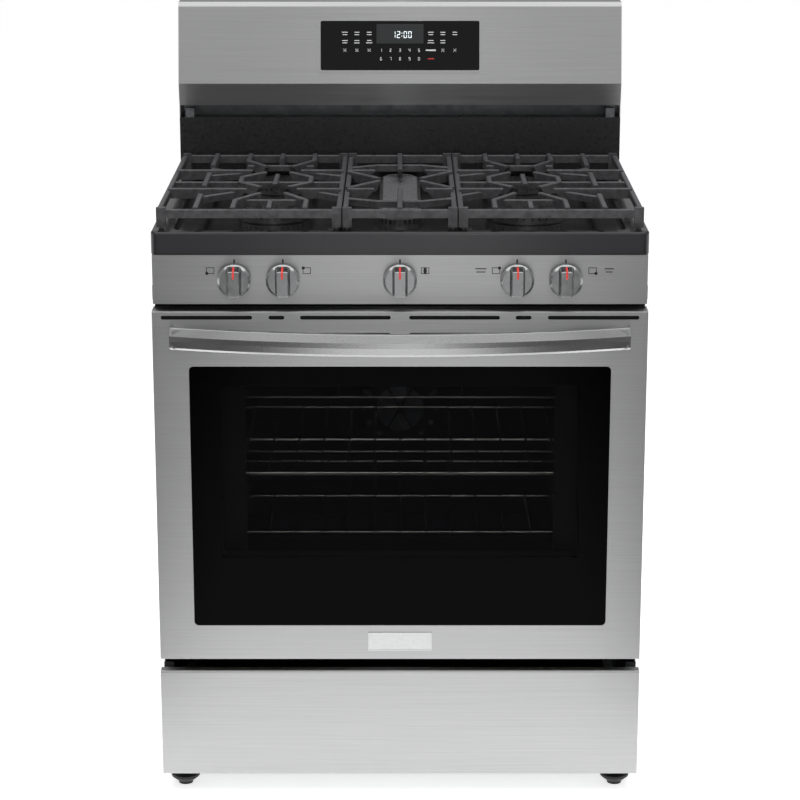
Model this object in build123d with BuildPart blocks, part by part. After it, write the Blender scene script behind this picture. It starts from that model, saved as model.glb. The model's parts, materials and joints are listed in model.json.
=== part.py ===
"""A freestanding gas range: oven, storage drawer, gas cooktop and backguard, piece by piece.

+Z is up, +X is to the right seen from the front, and the door faces -Y. The origin is on the
floor, in the middle of the overall width and depth. All sizes are in millimetres.
"""

import os
from math import cos, radians, sin

from build123d import *

os.makedirs("parts", exist_ok=True)

# Overall sizes
cooktop_width = 759.0
cooktop_height = 908.0  # to the rim that the grates stand on
case_depth = 654.0  # from the door's face to the back
handle_reach = 67.0
door_width = cooktop_width - 3
case_width = cooktop_width - 5

# Sheets and clearances
sheet = 1.5
bend_radius = 2.0
slide_gap = 0.3  # between a moving piece and what it glides over
running_gap = 0.05  # between a shaft and its bore
hole_gap = 0.2  # round a screw or stud
panel_gap = 8.0  # between the door and the control panel
side_gap = 1.0

# Heights of the front, from the floor up
foot_height = 33.0
drawer_height = 173.0
drawer_gap = 20.5
panel_height = 76.0
lip_height = 35.0
drawer_top = foot_height + drawer_height
door_bottom = drawer_top + drawer_gap
panel_top = cooktop_height - lip_height
panel_bottom = panel_top - panel_height
door_top = panel_bottom - panel_gap

# The door, front to back, and its glass
door_thickness = 42.0
inner_panel_thickness = 4.0
gasket_thickness = 4.0
gasket_width = 9.0
glass_thickness = 4.0
glass_inset = 0.8  # behind the door's face
glass_gap = 0.6  # round the outer pane
glass_above_door_bottom = 56.5
glass_below_door_top = 86.0
glass_width = door_width - 110
glass_height = door_top - door_bottom - glass_above_door_bottom - glass_below_door_top
view_above_glass_bottom = 112.0
view_below_glass_top = 31.0
view_width = glass_width - 91
view_height = glass_height - view_above_glass_bottom - view_below_glass_top
inner_view_width = view_width - 75
inner_view_height = view_height + 1
inner_view_drop = 6.0
vent_height = 6.0
upper_vent_drop = 9.4  # from the door's top to the upper row of vents
vent_row_gap = 26.6
badge_width = 100.0
badge_height = 30.0
badge_thickness = 1.6
badge_rise = 30.0  # from the door's bottom to the badge's middle

# Door hinges
hinge_behind_face = 40.0
hinge_above_door_bottom = 27.5
hinge_pin_radius = 4.0
hinge_tab_radius = 11.0
hinge_tab_width = 12.0
hinge_offset = case_width / 2 - 37
hinge_height = 46.0
hinge_ear = 4.0
swing_gap = 2.5  # round the path of the door's lower edge

# Handle
handle_half_span = door_width / 2 - 30
handle_end_reach = 10.0  # how far the bar's middle line stands out at its ends
handle_mid_reach = 58.0
handle_bar_height = 34.0
handle_bar_depth = 18.0
handle_crease = 5.0  # above the bar's middle line
handle_rounding = 1.3
handle_pad_width = 20.0
handle_drop = 39.0  # from the door's top to the bar's middle line

# Oven
cavity_width = case_width - 154
cavity_depth = case_depth - 94  # from the door's face
cavity_top_gap = 37.0  # from the control panel's lower edge down to the roof of the oven
cavity_above_hinge = 36.0
burner_pit = 20.0  # below the oven floor
wool = 25.0
first_ledge = 22.0  # above the oven floor
ledge_gap = 98.0
room_above_ledges = 100.0
ledge_reach = 16.0
rack_half_width = cavity_width / 2 - 10
rack_rod = 3.0
rack_wire = 2.0
rack_front = 80.0
rack_length = cavity_depth - 160
rack_wire_gap = 41.5
rack_upstand = 18.0
fan_share = 0.44  # of the oven's height, up to the fan's shaft
fan_radius = 68.0
fan_hub_radius = 10.0
fan_shaft_radius = 4.0
guard_radius = 112.0
guard_depth = 44.0
motor_radius = 34.0
motor_depth = 34.0
bake_radius = 8.0
broil_radius = 7.0
lamp_radius = 18.0
duct_half = 110.0
duct_depth = 36.0
duct_mouth = 28.0

# Case
case_flange = 16.0
rail_width = 50.0
rail_height = 14.0
rail_wall = 2.0
rail_front = 22.0
foot_offset = case_width / 2 - 31
foot_front = 42.0
foot_radius = 23.0
foot_neck_radius = 10.0
foot_stud_radius = 5.0
screw_radius = 2.0
screw_length = 8.0
screw_head = 1.8
back_inset = 4.0  # the back panel lies this far inside the rearmost point
back_panel_drop = 8.0  # below the backguard's top
gland_radius = 11.0
gland_bore = 4.5
inlet_radius = 10.5
inlet_length = 22.0
inlet_window = 70.0

# Drawer
drawer_box_width = case_width - 98
drawer_box_depth = case_depth - 114
drawer_floor = 52.0
drawer_box_top_drop = 21.0
pull_depth = 17.0
pull_lip = 14.0
runner_level = 62.0
runner_reach = 18.0

# Cooktop
cooktop_front = 20.0
cooktop_back = case_depth - 88
well_depth = 11.0
well_front_rim = 14.0
well_side_rim = 34.0
well_back_rim = 18.0
cooktop_corner = 15.0
burner_head_height = 12.0
burner_cap_height = 7.0
burner_throat = 15.0
port_width = 2.6
oval_width = 66.0

# Grates
grate_front = 38.0
grate_back = cooktop_back - 21
grate_height = 34.0
grate_outer = cooktop_width / 2 - 8.5
grate_seam = 88.5
grate_gap = 2.0
rib = 8.0
rib_depth = 16.0
rib_chamfer = 1.2
bumper_height = 3.5
bumper_radius = 4.0
oval_length = grate_back - grate_front - 123
burner_across = grate_seam + 111.5
front_burner = grate_front + 149
rear_burner = grate_back - 117
middle_burner = (grate_front + grate_back) / 2

# Control panel and knobs
panel_face = 17.0
knob_places = (-252.0, -178.0, 0.0, 178.0, 252.0)
knob_drop = 38.0  # below the control panel's top
knob_gap = 5.0
knob_radius = 25.5
knob_ring = 10.0
knob_grip = 18.0
stem_radius = 3.0
stem_travel = 3.0
stem_hole = 7.0
valve_face = 52.0
valve_length = 24.0
valve_radius = 11.0
manifold_radius = 10.0
tube_radius = 4.0
tube_bend = 6.0
tube_drop = 13.0

# Backguard, from the cooktop's rim up
splash_height = 92.0
vent_slot_height = 21.0
backguard_slope_height = 38.0
backguard_face_height = 135.0
backguard_edge_face = cooktop_back - 8
backguard_top_face = cooktop_back + 22
backguard_shoulder = 7.0
display_width = 271.0
display_height = 84.0
splash_top = cooktop_height + splash_height
vent_top = splash_top + vent_slot_height
backguard_edge = vent_top + backguard_slope_height
overall_height = backguard_edge + backguard_face_height

# Places worked out from the sizes above
door_face_y = (handle_reach - case_depth) / 2
rear_y = door_face_y + case_depth
frame_y = door_face_y + door_thickness + gasket_thickness
case_front_y = frame_y + sheet
back_panel_y = rear_y - back_inset
rail_top = foot_height + rail_height
hinge_y = door_face_y + hinge_behind_face
hinge_z = door_bottom + hinge_above_door_bottom
cavity_bottom = hinge_z + cavity_above_hinge
cavity_top = panel_bottom - cavity_top_gap
cavity_height = cavity_top - cavity_bottom
mouth_z = (cavity_bottom + cavity_top) / 2
pit_bottom = cavity_bottom - burner_pit
liner_back_y = door_face_y + cavity_depth
ledge_count = int((cavity_height - first_ledge - room_above_ledges) // ledge_gap) + 1
ledge_levels = [cavity_bottom + first_ledge + step * ledge_gap for step in range(ledge_count)]
rack_levels = ledge_levels[1:3]
fan_z = cavity_bottom + fan_share * cavity_height
well_floor = cooktop_height - well_depth
knob_z = panel_top - knob_drop
knob_base_y = door_face_y + panel_face - knob_gap
glass_z = door_bottom + glass_above_door_bottom + glass_height / 2
view_z = door_bottom + glass_above_door_bottom + view_above_glass_bottom + view_height / 2
inner_view_z = view_z - inner_view_drop
inner_panel_y = door_face_y + door_thickness - inner_panel_thickness
grate_top = cooktop_height + grate_height
side_edge = case_width / 2
door_edge = door_width / 2


def behind(distance):
    """The y of a place this far behind the door's face."""
    return door_face_y + distance


def front_plane(y):
    """A plane that faces the front at this y, where the sketch runs along X and Z."""
    return Plane.XZ.offset(-y)


def span(side, inner, outer):
    """The limits along X of something on one side: -1 is the left and 1 the right."""
    return sorted((side * inner, side * outer))


def block(x, y, z, mode=Mode.ADD):
    """A box between pairs of limits along X, Y and Z."""
    middle = [(low + high) / 2 for low, high in (x, y, z)]
    size = [high - low for low, high in (x, y, z)]
    with Locations(tuple(middle)):
        Box(*size, mode=mode)


def rod(start, end, radius, mode=Mode.ADD):
    """A round bar from start to end."""
    along = Vector(*end) - Vector(*start)
    with BuildSketch(Plane(origin=start, z_dir=along)) as section:
        Circle(radius)
    extrude(section.sketch, amount=along.length, mode=mode)


def pane(plane, centre, width, height, corner, thickness, mode=Mode.ADD):
    """A rounded rectangle on a plane, drawn back from it by a thickness."""
    with BuildSketch(plane) as outline:
        with Locations(centre):
            RectangleRounded(width, height, corner)
    extrude(outline.sketch, amount=-thickness, mode=mode)


def folded(plane, width, *points):
    """Sheet steel folded along a line of points, drawn out evenly to both sides of the plane."""
    with BuildSketch(plane) as section:
        with BuildLine():
            FilletPolyline(*points, radius=bend_radius)
            offset(amount=sheet, side=Side.LEFT)
        make_face()
    extrude(section.sketch, amount=width / 2, both=True)


# --- Case -------------------------------------------------------------------------------

screw_rows = [rail_top + 40 + step * (panel_top - rail_top - 80) / 3 for step in range(4)]
upper_screw_rows = [splash_top + 25, overall_height - 35]
screw_x = side_edge - case_flange / 2
upper_screws = [(side * screw_x, z) for side in (-1, 1) for z in upper_screw_rows]
screw_places = [(side * screw_x, z) for side in (-1, 1) for z in screw_rows] + upper_screws

# The door's lower back corner swings through here as the door opens
swing_radius = hinge_above_door_bottom
swing_back_y = hinge_y + swing_radius + swing_gap
swing_top = hinge_z + inner_panel_thickness
swing_bottom = drawer_top - swing_gap

for side, name in ((-1, "left_side_panel"), (1, "right_side_panel")):
    with BuildPart() as side_panel:
        block(span(side, side_edge - sheet, side_edge), (case_front_y, back_panel_y),
              (foot_height, panel_top))
        for y in (case_front_y, back_panel_y - sheet):
            block(span(side, side_edge - case_flange, side_edge), (y, y + sheet), (rail_top, panel_top))
        block(span(side, side_edge - case_flange, side_edge), (case_front_y, swing_back_y),
              (swing_bottom, swing_top), Mode.SUBTRACT)
        x = side * screw_x
        for z in screw_rows:
            rod((x, back_panel_y - 2 * sheet, z), (x, back_panel_y, z), screw_radius + hole_gap,
                Mode.SUBTRACT)
    side_panel.part.label = name
    export_step(side_panel.part, f"parts/{name}.step")

inlet_x = side_edge - 42.0
inlet_z = rail_top + 83.0
gland_x = -side_edge + 80.0
gland_z = rail_top + 90.0

with BuildPart() as back_panel:
    block((-side_edge, side_edge), (back_panel_y, back_panel_y + sheet),
          (rail_top, overall_height - back_panel_drop))
    pane(front_plane(back_panel_y), (inlet_x, inlet_z), inlet_window * 0.8, inlet_window, 6, sheet,
         Mode.SUBTRACT)
    rod((gland_x, back_panel_y, gland_z), (gland_x, rear_y, gland_z), gland_radius, Mode.SUBTRACT)
    for x, z in screw_places:
        rod((x, back_panel_y - 1, z), (x, rear_y, z), screw_radius + hole_gap, Mode.SUBTRACT)
    with BuildSketch(front_plane(back_panel_y)) as louvres:
        with Locations((0, mouth_z)):
            with GridLocations(70, 26, 5, 4):
                SlotOverall(52, 7)
    extrude(louvres.sketch, amount=-sheet, mode=Mode.SUBTRACT)
back_panel.part.label = "back_panel"
export_step(back_panel.part, "parts/back_panel.step")

rail_edge = side_edge - sheet
cross_rail_places = (behind(rail_front), behind(case_depth / 2 - 27), back_panel_y - rail_width)
foot_rear_y = back_panel_y - foot_front
foot_places = [(side * foot_offset, y) for side in (-1, 1) for y in (behind(foot_front), foot_rear_y)]

with BuildPart() as base_frame:
    for side in (-1, 1):
        block(span(side, rail_edge - rail_width, rail_edge), (behind(rail_front), back_panel_y),
              (foot_height, rail_top))
    for y in cross_rail_places:
        block((-rail_edge + rail_width, rail_edge - rail_width), (y, y + rail_width),
              (foot_height, rail_top - 4))
    for side in (-1, 1):
        block(span(side, rail_edge - rail_width + rail_wall, rail_edge - rail_wall),
              (behind(rail_front) + rail_wall, back_panel_y - rail_wall), (foot_height, rail_top - rail_wall),
              Mode.SUBTRACT)
    for y in cross_rail_places:
        block((-rail_edge + rail_width, rail_edge - rail_width), (y + rail_wall, y + rail_width - rail_wall),
              (foot_height, rail_top - 4 - rail_wall), Mode.SUBTRACT)
    for x, y in foot_places:
        rod((x, y, foot_height), (x, y, rail_top), foot_stud_radius + hole_gap, Mode.SUBTRACT)
base_frame.part.label = "base_frame"
export_step(base_frame.part, "parts/base_frame.step")

foot_profile = [(0, 0), (foot_radius / 2, 0), (foot_radius / 2, 3), (foot_radius, 13), (foot_radius, 17),
                (foot_neck_radius, 20), (foot_neck_radius, rail_top - rail_wall),
                (foot_stud_radius, rail_top - rail_wall), (foot_stud_radius, rail_top), (0, rail_top)]

with BuildPart() as levelling_feet:
    for x, y in foot_places:
        with BuildSketch(Plane(origin=(x, y, 0), x_dir=(1, 0, 0), z_dir=(0, -1, 0))) as half:
            with BuildLine():
                Polyline(*foot_profile, close=True)
            make_face()
        revolve(half.sketch, axis=Axis((x, y, 0), (0, 0, 1)))
levelling_feet.part.label = "levelling_feet"
export_step(levelling_feet.part, "parts/levelling_feet.step")

with BuildPart() as rear_screws:
    for x, z in screw_places:
        rod((x, back_panel_y - screw_length, z), (x, back_panel_y + sheet, z), screw_radius)
        rod((x, back_panel_y + sheet, z), (x, back_panel_y + sheet + screw_head, z), screw_radius * 2.4)
rear_screws.part.label = "rear_screws"
export_step(rear_screws.part, "parts/rear_screws.step")

frame_bottom = hinge_z + 12

with BuildPart() as front_frame:
    block((-side_edge, side_edge), (frame_y, case_front_y), (frame_bottom, panel_bottom))
    pane(front_plane(frame_y), (0, mouth_z), cavity_width, cavity_height, 14, sheet, Mode.SUBTRACT)
front_frame.part.label = "front_frame"
export_step(front_frame.part, "parts/front_frame.step")

with BuildPart() as door_gasket:
    gasket_plane = front_plane(frame_y - gasket_thickness + slide_gap)
    gasket_depth = gasket_thickness - slide_gap
    pane(gasket_plane, (0, mouth_z), cavity_width + 40, cavity_height + 14, 20, gasket_depth)
    pane(gasket_plane, (0, mouth_z), cavity_width + 40 - 2 * gasket_width, cavity_height + 14 - gasket_width,
         14, gasket_depth, Mode.SUBTRACT)
door_gasket.part.label = "door_gasket"
export_step(door_gasket.part, "parts/door_gasket.step")

with BuildPart() as hinge_brackets:
    for side in (-1, 1):
        x = span(side, hinge_offset - hinge_tab_width / 2, hinge_offset + hinge_tab_width / 2)
        rod((x[0], hinge_y, hinge_z), (x[1], hinge_y, hinge_z), hinge_tab_radius)
        block(x, (hinge_y, frame_y), (hinge_z - 5, hinge_z + hinge_height))
        rod((x[0], hinge_y, hinge_z), (x[1], hinge_y, hinge_z), hinge_pin_radius + running_gap, Mode.SUBTRACT)
hinge_brackets.part.label = "hinge_brackets"
export_step(hinge_brackets.part, "parts/hinge_brackets.step")

runner_edge = drawer_box_width / 2
rail_leg = rail_edge - rail_width + 25

with BuildPart() as drawer_rails:
    for side in (-1, 1):
        length = (behind(50), behind(case_depth - 64))
        block(span(side, rail_leg - sheet, rail_leg), length, (rail_top, runner_level))
        block(span(side, runner_edge + 4, rail_leg), length, (runner_level - sheet, runner_level))
drawer_rails.part.label = "drawer_rails"
export_step(drawer_rails.part, "parts/drawer_rails.step")

# --- Oven -------------------------------------------------------------------------------

liner_half = cavity_width / 2
duct_level = cavity_top - 32
mouth_low = duct_level - duct_mouth / 2
mouth_high = duct_level + duct_mouth / 2
broil_level = cavity_top - 18
bake_level = pit_bottom + 10

with BuildPart() as oven_liner:
    block((-liner_half - sheet, liner_half + sheet), (case_front_y, liner_back_y + sheet),
          (pit_bottom - sheet, cavity_top + sheet))
    block((-liner_half, liner_half), (case_front_y, liner_back_y), (pit_bottom, cavity_top), Mode.SUBTRACT)
    for side in (-1, 1):
        for level in ledge_levels:
            top = level - rack_rod - slide_gap
            block(span(side, liner_half - ledge_reach, liner_half), (behind(60), liner_back_y - 15),
                  (top - 5, top))
    rod((0, liner_back_y - 1, fan_z), (0, liner_back_y + 2 * sheet, fan_z), 8, Mode.SUBTRACT)
    block((-duct_half, duct_half), (liner_back_y - 1, liner_back_y + 2 * sheet),
          (mouth_low, mouth_high), Mode.SUBTRACT)
oven_liner.part.label = "oven_liner"
export_step(oven_liner.part, "parts/oven_liner.step")

wool_front = behind(80)
wool_back = liner_back_y + sheet + wool

with BuildPart() as oven_insulation:
    block((-liner_half - sheet - wool, liner_half + sheet + wool), (wool_front, wool_back),
          (pit_bottom - sheet - wool, cavity_top + sheet + wool))
    block((-liner_half - sheet, liner_half + sheet), (wool_front, liner_back_y + sheet),
          (pit_bottom - sheet, cavity_top + sheet), Mode.SUBTRACT)
    rod((0, liner_back_y, fan_z), (0, wool_back, fan_z), 12, Mode.SUBTRACT)
    block((-duct_half - sheet, duct_half + sheet), (liner_back_y, wool_back),
          (mouth_low - sheet, mouth_high + sheet), Mode.SUBTRACT)
oven_insulation.part.label = "oven_insulation"
export_step(oven_insulation.part, "parts/oven_insulation.step")

floor_half = liner_half - 1.0

with BuildPart() as oven_floor:
    block((-floor_half, floor_half), (behind(56), liner_back_y - 4), (cavity_bottom - sheet, cavity_bottom))
    for side in (-1, 1):
        block(span(side, floor_half - sheet, floor_half), (behind(56), liner_back_y - 4),
              (pit_bottom, cavity_bottom))
        with BuildSketch(Plane.XY.offset(cavity_bottom)) as slots:
            with Locations((side * (floor_half - 28), behind(cavity_depth / 2 + 20))):
                with GridLocations(0, 60, 1, 7):
                    SlotOverall(44, 8, rotation=90)
        extrude(slots.sketch, amount=-sheet, mode=Mode.SUBTRACT)
oven_floor.part.label = "oven_floor"
export_step(oven_floor.part, "parts/oven_floor.step")


def loop_burner(half_width, level, front, radius):
    """A tube burner bent to a U, open towards the back wall of the oven."""
    for side in (-1, 1):
        rod((side * half_width, front, level), (side * half_width, liner_back_y, level), radius)
    rod((-half_width, front, level), (half_width, front, level), radius)
    with Locations((-half_width, front, level), (half_width, front, level)):
        Sphere(radius)


with BuildPart() as bake_burner:
    loop_burner(140, bake_level, behind(130), bake_radius)
bake_burner.part.label = "bake_burner"
export_step(bake_burner.part, "parts/bake_burner.step")

with BuildPart() as broil_burner:
    loop_burner(150, broil_level, behind(150), broil_radius)
broil_burner.part.label = "broil_burner"
export_step(broil_burner.part, "parts/broil_burner.step")

guard_y = liner_back_y - guard_depth

with BuildPart() as fan_guard:
    rod((0, guard_y, fan_z), (0, liner_back_y, fan_z), guard_radius)
    fillet(fan_guard.edges().group_by(Axis.Y)[0], 0.9 * sheet)
    rod((0, guard_y + sheet, fan_z), (0, liner_back_y, fan_z), guard_radius - sheet, Mode.SUBTRACT)
    with BuildSketch(front_plane(guard_y)) as guard_holes:
        with Locations((0, fan_z)):
            Circle(41)
            with PolarLocations(78, 14):
                SlotOverall(46, 9)
            for angle in (0, 60, 120):
                Rectangle(84, 3, rotation=angle, mode=Mode.SUBTRACT)
    extrude(guard_holes.sketch, amount=-2 * sheet, mode=Mode.SUBTRACT)
fan_guard.part.label = "fan_guard"
export_step(fan_guard.part, "parts/fan_guard.step")

fan_front = guard_y + 9

with BuildPart() as convection_fan:
    rod((0, fan_front, fan_z), (0, wool_back + motor_depth, fan_z), fan_shaft_radius)
    rod((0, fan_front, fan_z), (0, fan_front + 26, fan_z), fan_hub_radius)
    rod((0, fan_front + 22, fan_z), (0, fan_front + 22 + sheet, fan_z), fan_radius)
    with BuildSketch(front_plane(fan_front + 22)) as blades:
        with Locations((0, fan_z)):
            with PolarLocations((fan_radius + 8) / 2, 9):
                Rectangle(fan_radius - 8, 2.4, rotation=24)
    extrude(blades.sketch, amount=18)
convection_fan.part.label = "convection_fan"
export_step(convection_fan.part, "parts/convection_fan.step")

with BuildPart() as fan_motor:
    rod((0, wool_back, fan_z), (0, wool_back + motor_depth, fan_z), motor_radius)
    block((-55, 55), (wool_back, wool_back + 2), (fan_z - 14, fan_z + 14))
    rod((0, wool_back, fan_z), (0, wool_back + motor_depth, fan_z), fan_shaft_radius + running_gap,
        Mode.SUBTRACT)
fan_motor.part.label = "fan_motor"
export_step(fan_motor.part, "parts/fan_motor.step")

lamp_x = -liner_half + 65
lamp_z = cavity_top - 66
lamp_dome_y = liner_back_y - 20

with BuildPart() as oven_lamp:
    rod((lamp_x, liner_back_y - 6, lamp_z), (lamp_x, liner_back_y, lamp_z), lamp_radius + 6)
    rod((lamp_x, lamp_dome_y, lamp_z), (lamp_x, liner_back_y - 6, lamp_z), lamp_radius)
    with Locations((lamp_x, lamp_dome_y, lamp_z)):
        Sphere(lamp_radius)
oven_lamp.part.label = "oven_lamp"
export_step(oven_lamp.part, "parts/oven_lamp.step")

duct_front = wool_back + 6
duct_back = duct_front + duct_depth

with BuildPart() as flue_duct:
    block((-duct_half - sheet, duct_half + sheet), (duct_front, duct_back),
          (mouth_low - sheet, splash_top - sheet))
    block((-duct_half - sheet, duct_half + sheet), (liner_back_y + sheet, duct_front),
          (mouth_low - sheet, mouth_high + sheet))
    block((-duct_half, duct_half), (duct_front + sheet, duct_back - sheet),
          (mouth_low, splash_top), Mode.SUBTRACT)
    block((-duct_half, duct_half), (liner_back_y, duct_front + 2 * sheet), (mouth_low, mouth_high),
          Mode.SUBTRACT)
flue_duct.part.label = "flue_duct"
export_step(flue_duct.part, "parts/flue_duct.step")

# --- Oven door --------------------------------------------------------------------------

handle_z = door_top - handle_drop
notch_inner = hinge_offset - hinge_tab_width / 2 - hinge_ear
notch_outer = hinge_offset + hinge_tab_width / 2 + hinge_ear
notch_front = behind(hinge_behind_face) - hinge_tab_radius - 2
notch_top = hinge_z + hinge_height + 4


def hinge_notches():
    """Room in the door's lower back corners for the fixed brackets and the ears beside them."""
    for side in (-1, 1):
        block(span(side, notch_inner, notch_outer), (notch_front, frame_y), (door_bottom - 1, notch_top),
              Mode.SUBTRACT)


# Spans along X of the vents beside the door's middle, and mirrored
middle_vent = (14.0, 152.0)
upper_vents = (middle_vent, (176.0, 200.0), (225.0, door_edge - 14))

with BuildPart() as door_skin:
    block((-door_edge, door_edge), (door_face_y, inner_panel_y), (door_bottom, door_top))
    fillet(door_skin.faces().sort_by(Axis.Y)[0].edges(), 1.4)
    block((-door_edge + sheet, door_edge - sheet), (door_face_y + sheet, inner_panel_y),
          (door_bottom + sheet, door_top - sheet), Mode.SUBTRACT)
    pane(front_plane(door_face_y), (0, glass_z), glass_width, glass_height, 7, 2 * sheet, Mode.SUBTRACT)
    with BuildSketch(front_plane(door_face_y)) as vents:
        upper_z = door_top - upper_vent_drop
        rows = [(upper_z, low, high) for low, high in upper_vents]
        rows.append((upper_z - vent_row_gap, *middle_vent))
        for z, low, high in rows:
            for side in (-1, 1):
                with Locations((side * (low + high) / 2, z)):
                    SlotOverall(high - low, vent_height)
    extrude(vents.sketch, amount=-2 * sheet, mode=Mode.SUBTRACT)
    hinge_notches()
door_skin.part.label = "door_skin"
export_step(door_skin.part, "parts/door_skin.step")

glass_front_y = door_face_y + glass_inset

with BuildPart() as door_outer_glass:
    pane(front_plane(glass_front_y), (0, glass_z), glass_width - 2 * glass_gap, glass_height - 2 * glass_gap,
         6.5, glass_thickness)
door_outer_glass.part.label = "door_outer_glass"
export_step(door_outer_glass.part, "parts/door_outer_glass.step")

retainer_y = glass_front_y + glass_thickness
inner_glass_y = inner_panel_y - glass_thickness

with BuildPart() as door_window_frame:
    block((-door_edge + 4, door_edge - 4), (retainer_y, retainer_y + sheet), (door_bottom + 3, door_top - 3))
    pane(front_plane(retainer_y), (0, view_z), view_width + 2 * sheet, view_height + 2 * sheet, 6,
         inner_glass_y - retainer_y)
    pane(front_plane(retainer_y), (0, view_z), view_width, view_height, 5, inner_glass_y - retainer_y,
         Mode.SUBTRACT)
door_window_frame.part.label = "door_window_frame"
export_step(door_window_frame.part, "parts/door_window_frame.step")

with BuildPart() as door_inner_glass:
    pane(front_plane(inner_glass_y), (0, view_z), view_width + 16, view_height + 24, 6, glass_thickness)
door_inner_glass.part.label = "door_inner_glass"
export_step(door_inner_glass.part, "parts/door_inner_glass.step")

with BuildPart() as door_inner_panel:
    block((-door_edge + 2, door_edge - 2), (inner_panel_y, inner_panel_y + 2),
          (door_bottom + 2, door_top - 2))
    pane(front_plane(inner_panel_y + 2), (0, mouth_z), cavity_width + 44, cavity_height + 18, 22,
         inner_panel_thickness - 2)
    pane(front_plane(inner_panel_y), (0, inner_view_z), inner_view_width, inner_view_height, 10,
         inner_panel_thickness, Mode.SUBTRACT)
    hinge_notches()
door_inner_panel.part.label = "door_inner_panel"
export_step(door_inner_panel.part, "parts/door_inner_panel.step")

with BuildPart() as door_hinges:
    for side in (-1, 1):
        ear_top = notch_top
        ears = (span(side, notch_inner, notch_inner + hinge_ear - slide_gap),
                span(side, notch_outer - hinge_ear + slide_gap, notch_outer))
        for x in ears:
            rod((x[0], hinge_y, hinge_z), (x[1], hinge_y, hinge_z), hinge_tab_radius)
            block(x, (notch_front, hinge_y + 2), (hinge_z, ear_top))
        outer = span(side, notch_inner, notch_outer)
        rod((outer[0], hinge_y, hinge_z), (outer[1], hinge_y, hinge_z), hinge_pin_radius)
        block(outer, (notch_front, notch_front + 2), (hinge_z, ear_top))
door_hinges.part.label = "door_hinges"
export_step(door_hinges.part, "parts/door_hinges.step")

# The bar bows forward in an arc; its section has a crease along the front
bar_path_ends = [(side * handle_half_span, behind(-handle_end_reach), handle_z) for side in (-1, 1)]
bar_middle = (0, behind(-handle_mid_reach), handle_z)

with BuildPart() as door_handle:
    with BuildLine() as bar_path:
        ThreePointArc(bar_path_ends[0], bar_middle, bar_path_ends[1])
    start = bar_path.line @ 0
    heading = bar_path.line % 0
    with BuildSketch(Plane(origin=start, x_dir=(0, 0, 1), z_dir=heading)) as bar_section:
        half_depth = handle_bar_depth / 2
        half_height = handle_bar_height / 2
        with BuildLine():
            Polyline((-half_height + 5, -half_depth), (-half_height, -half_depth + 3),
                     (-half_height, half_depth - 4), (-half_height + 4, half_depth - 1.5),
                     (handle_crease - 8, half_depth), (handle_crease, half_depth), (half_height, 3),
                     (half_height, -half_depth + 3), (half_height - 4, -half_depth), close=True)
        make_face()
        fillet(bar_section.vertices(), handle_rounding)
    sweep(bar_section.sketch, path=bar_path.line)
    for side in (-1, 1):
        with BuildSketch(front_plane(door_face_y)) as foot_pad:
            with Locations((side * (handle_half_span - handle_pad_width / 2 - 1), handle_z)):
                RectangleRounded(handle_pad_width, handle_bar_height - 4, 5)
        extrude(foot_pad.sketch, amount=handle_end_reach + handle_bar_depth / 2)
door_handle.part.label = "door_handle"
export_step(door_handle.part, "parts/door_handle.step")

badge_z = door_bottom + badge_rise

with BuildPart() as door_badge:
    badge_plane = front_plane(door_face_y - badge_thickness)
    pane(badge_plane, (0, badge_z), badge_width, badge_height, 1.5, badge_thickness)
    pane(badge_plane, (0, badge_z), badge_width - 3, badge_height - 3, 1, 0.6, Mode.SUBTRACT)
door_badge.part.label = "door_badge"
export_step(door_badge.part, "parts/door_badge.step")

# --- Storage drawer ---------------------------------------------------------------------

drawer_side_top = drawer_top - 9

with BuildPart() as drawer_front:
    folded(Plane.YZ, door_width, (behind(14), foot_height), (door_face_y, foot_height),
           (door_face_y, drawer_top), (behind(pull_depth), drawer_top),
           (behind(pull_depth), drawer_top - pull_lip))
    for side in (-1, 1):
        block(span(side, door_edge - sheet, door_edge), (door_face_y + 1, behind(door_thickness)),
              (foot_height + 1, drawer_side_top))
drawer_front.part.label = "drawer_front"
export_step(drawer_front.part, "parts/drawer_front.step")

box_front_y = door_face_y + sheet
box_back_y = box_front_y + drawer_box_depth
box_top = drawer_top - drawer_box_top_drop
runner_bottom = runner_level + slide_gap

with BuildPart() as drawer_box:
    block((-runner_edge, runner_edge), (box_front_y, box_back_y), (drawer_floor, box_top))
    block((-runner_edge + sheet, runner_edge - sheet), (box_front_y + sheet, box_back_y - sheet),
          (drawer_floor + sheet, box_top), Mode.SUBTRACT)
    for side in (-1, 1):
        block(span(side, runner_edge, runner_edge + runner_reach), (behind(60), box_back_y),
              (runner_bottom, runner_bottom + 2))
drawer_box.part.label = "drawer_box"
export_step(drawer_box.part, "parts/drawer_box.step")

# --- Oven racks -------------------------------------------------------------------------

rack_back = rack_front + rack_length
wire_count = int(2 * (rack_half_width - 20) // rack_wire_gap) // 2 * 2 + 1
wire_places = [(index - wire_count // 2) * rack_wire_gap for index in range(wire_count)]

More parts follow.
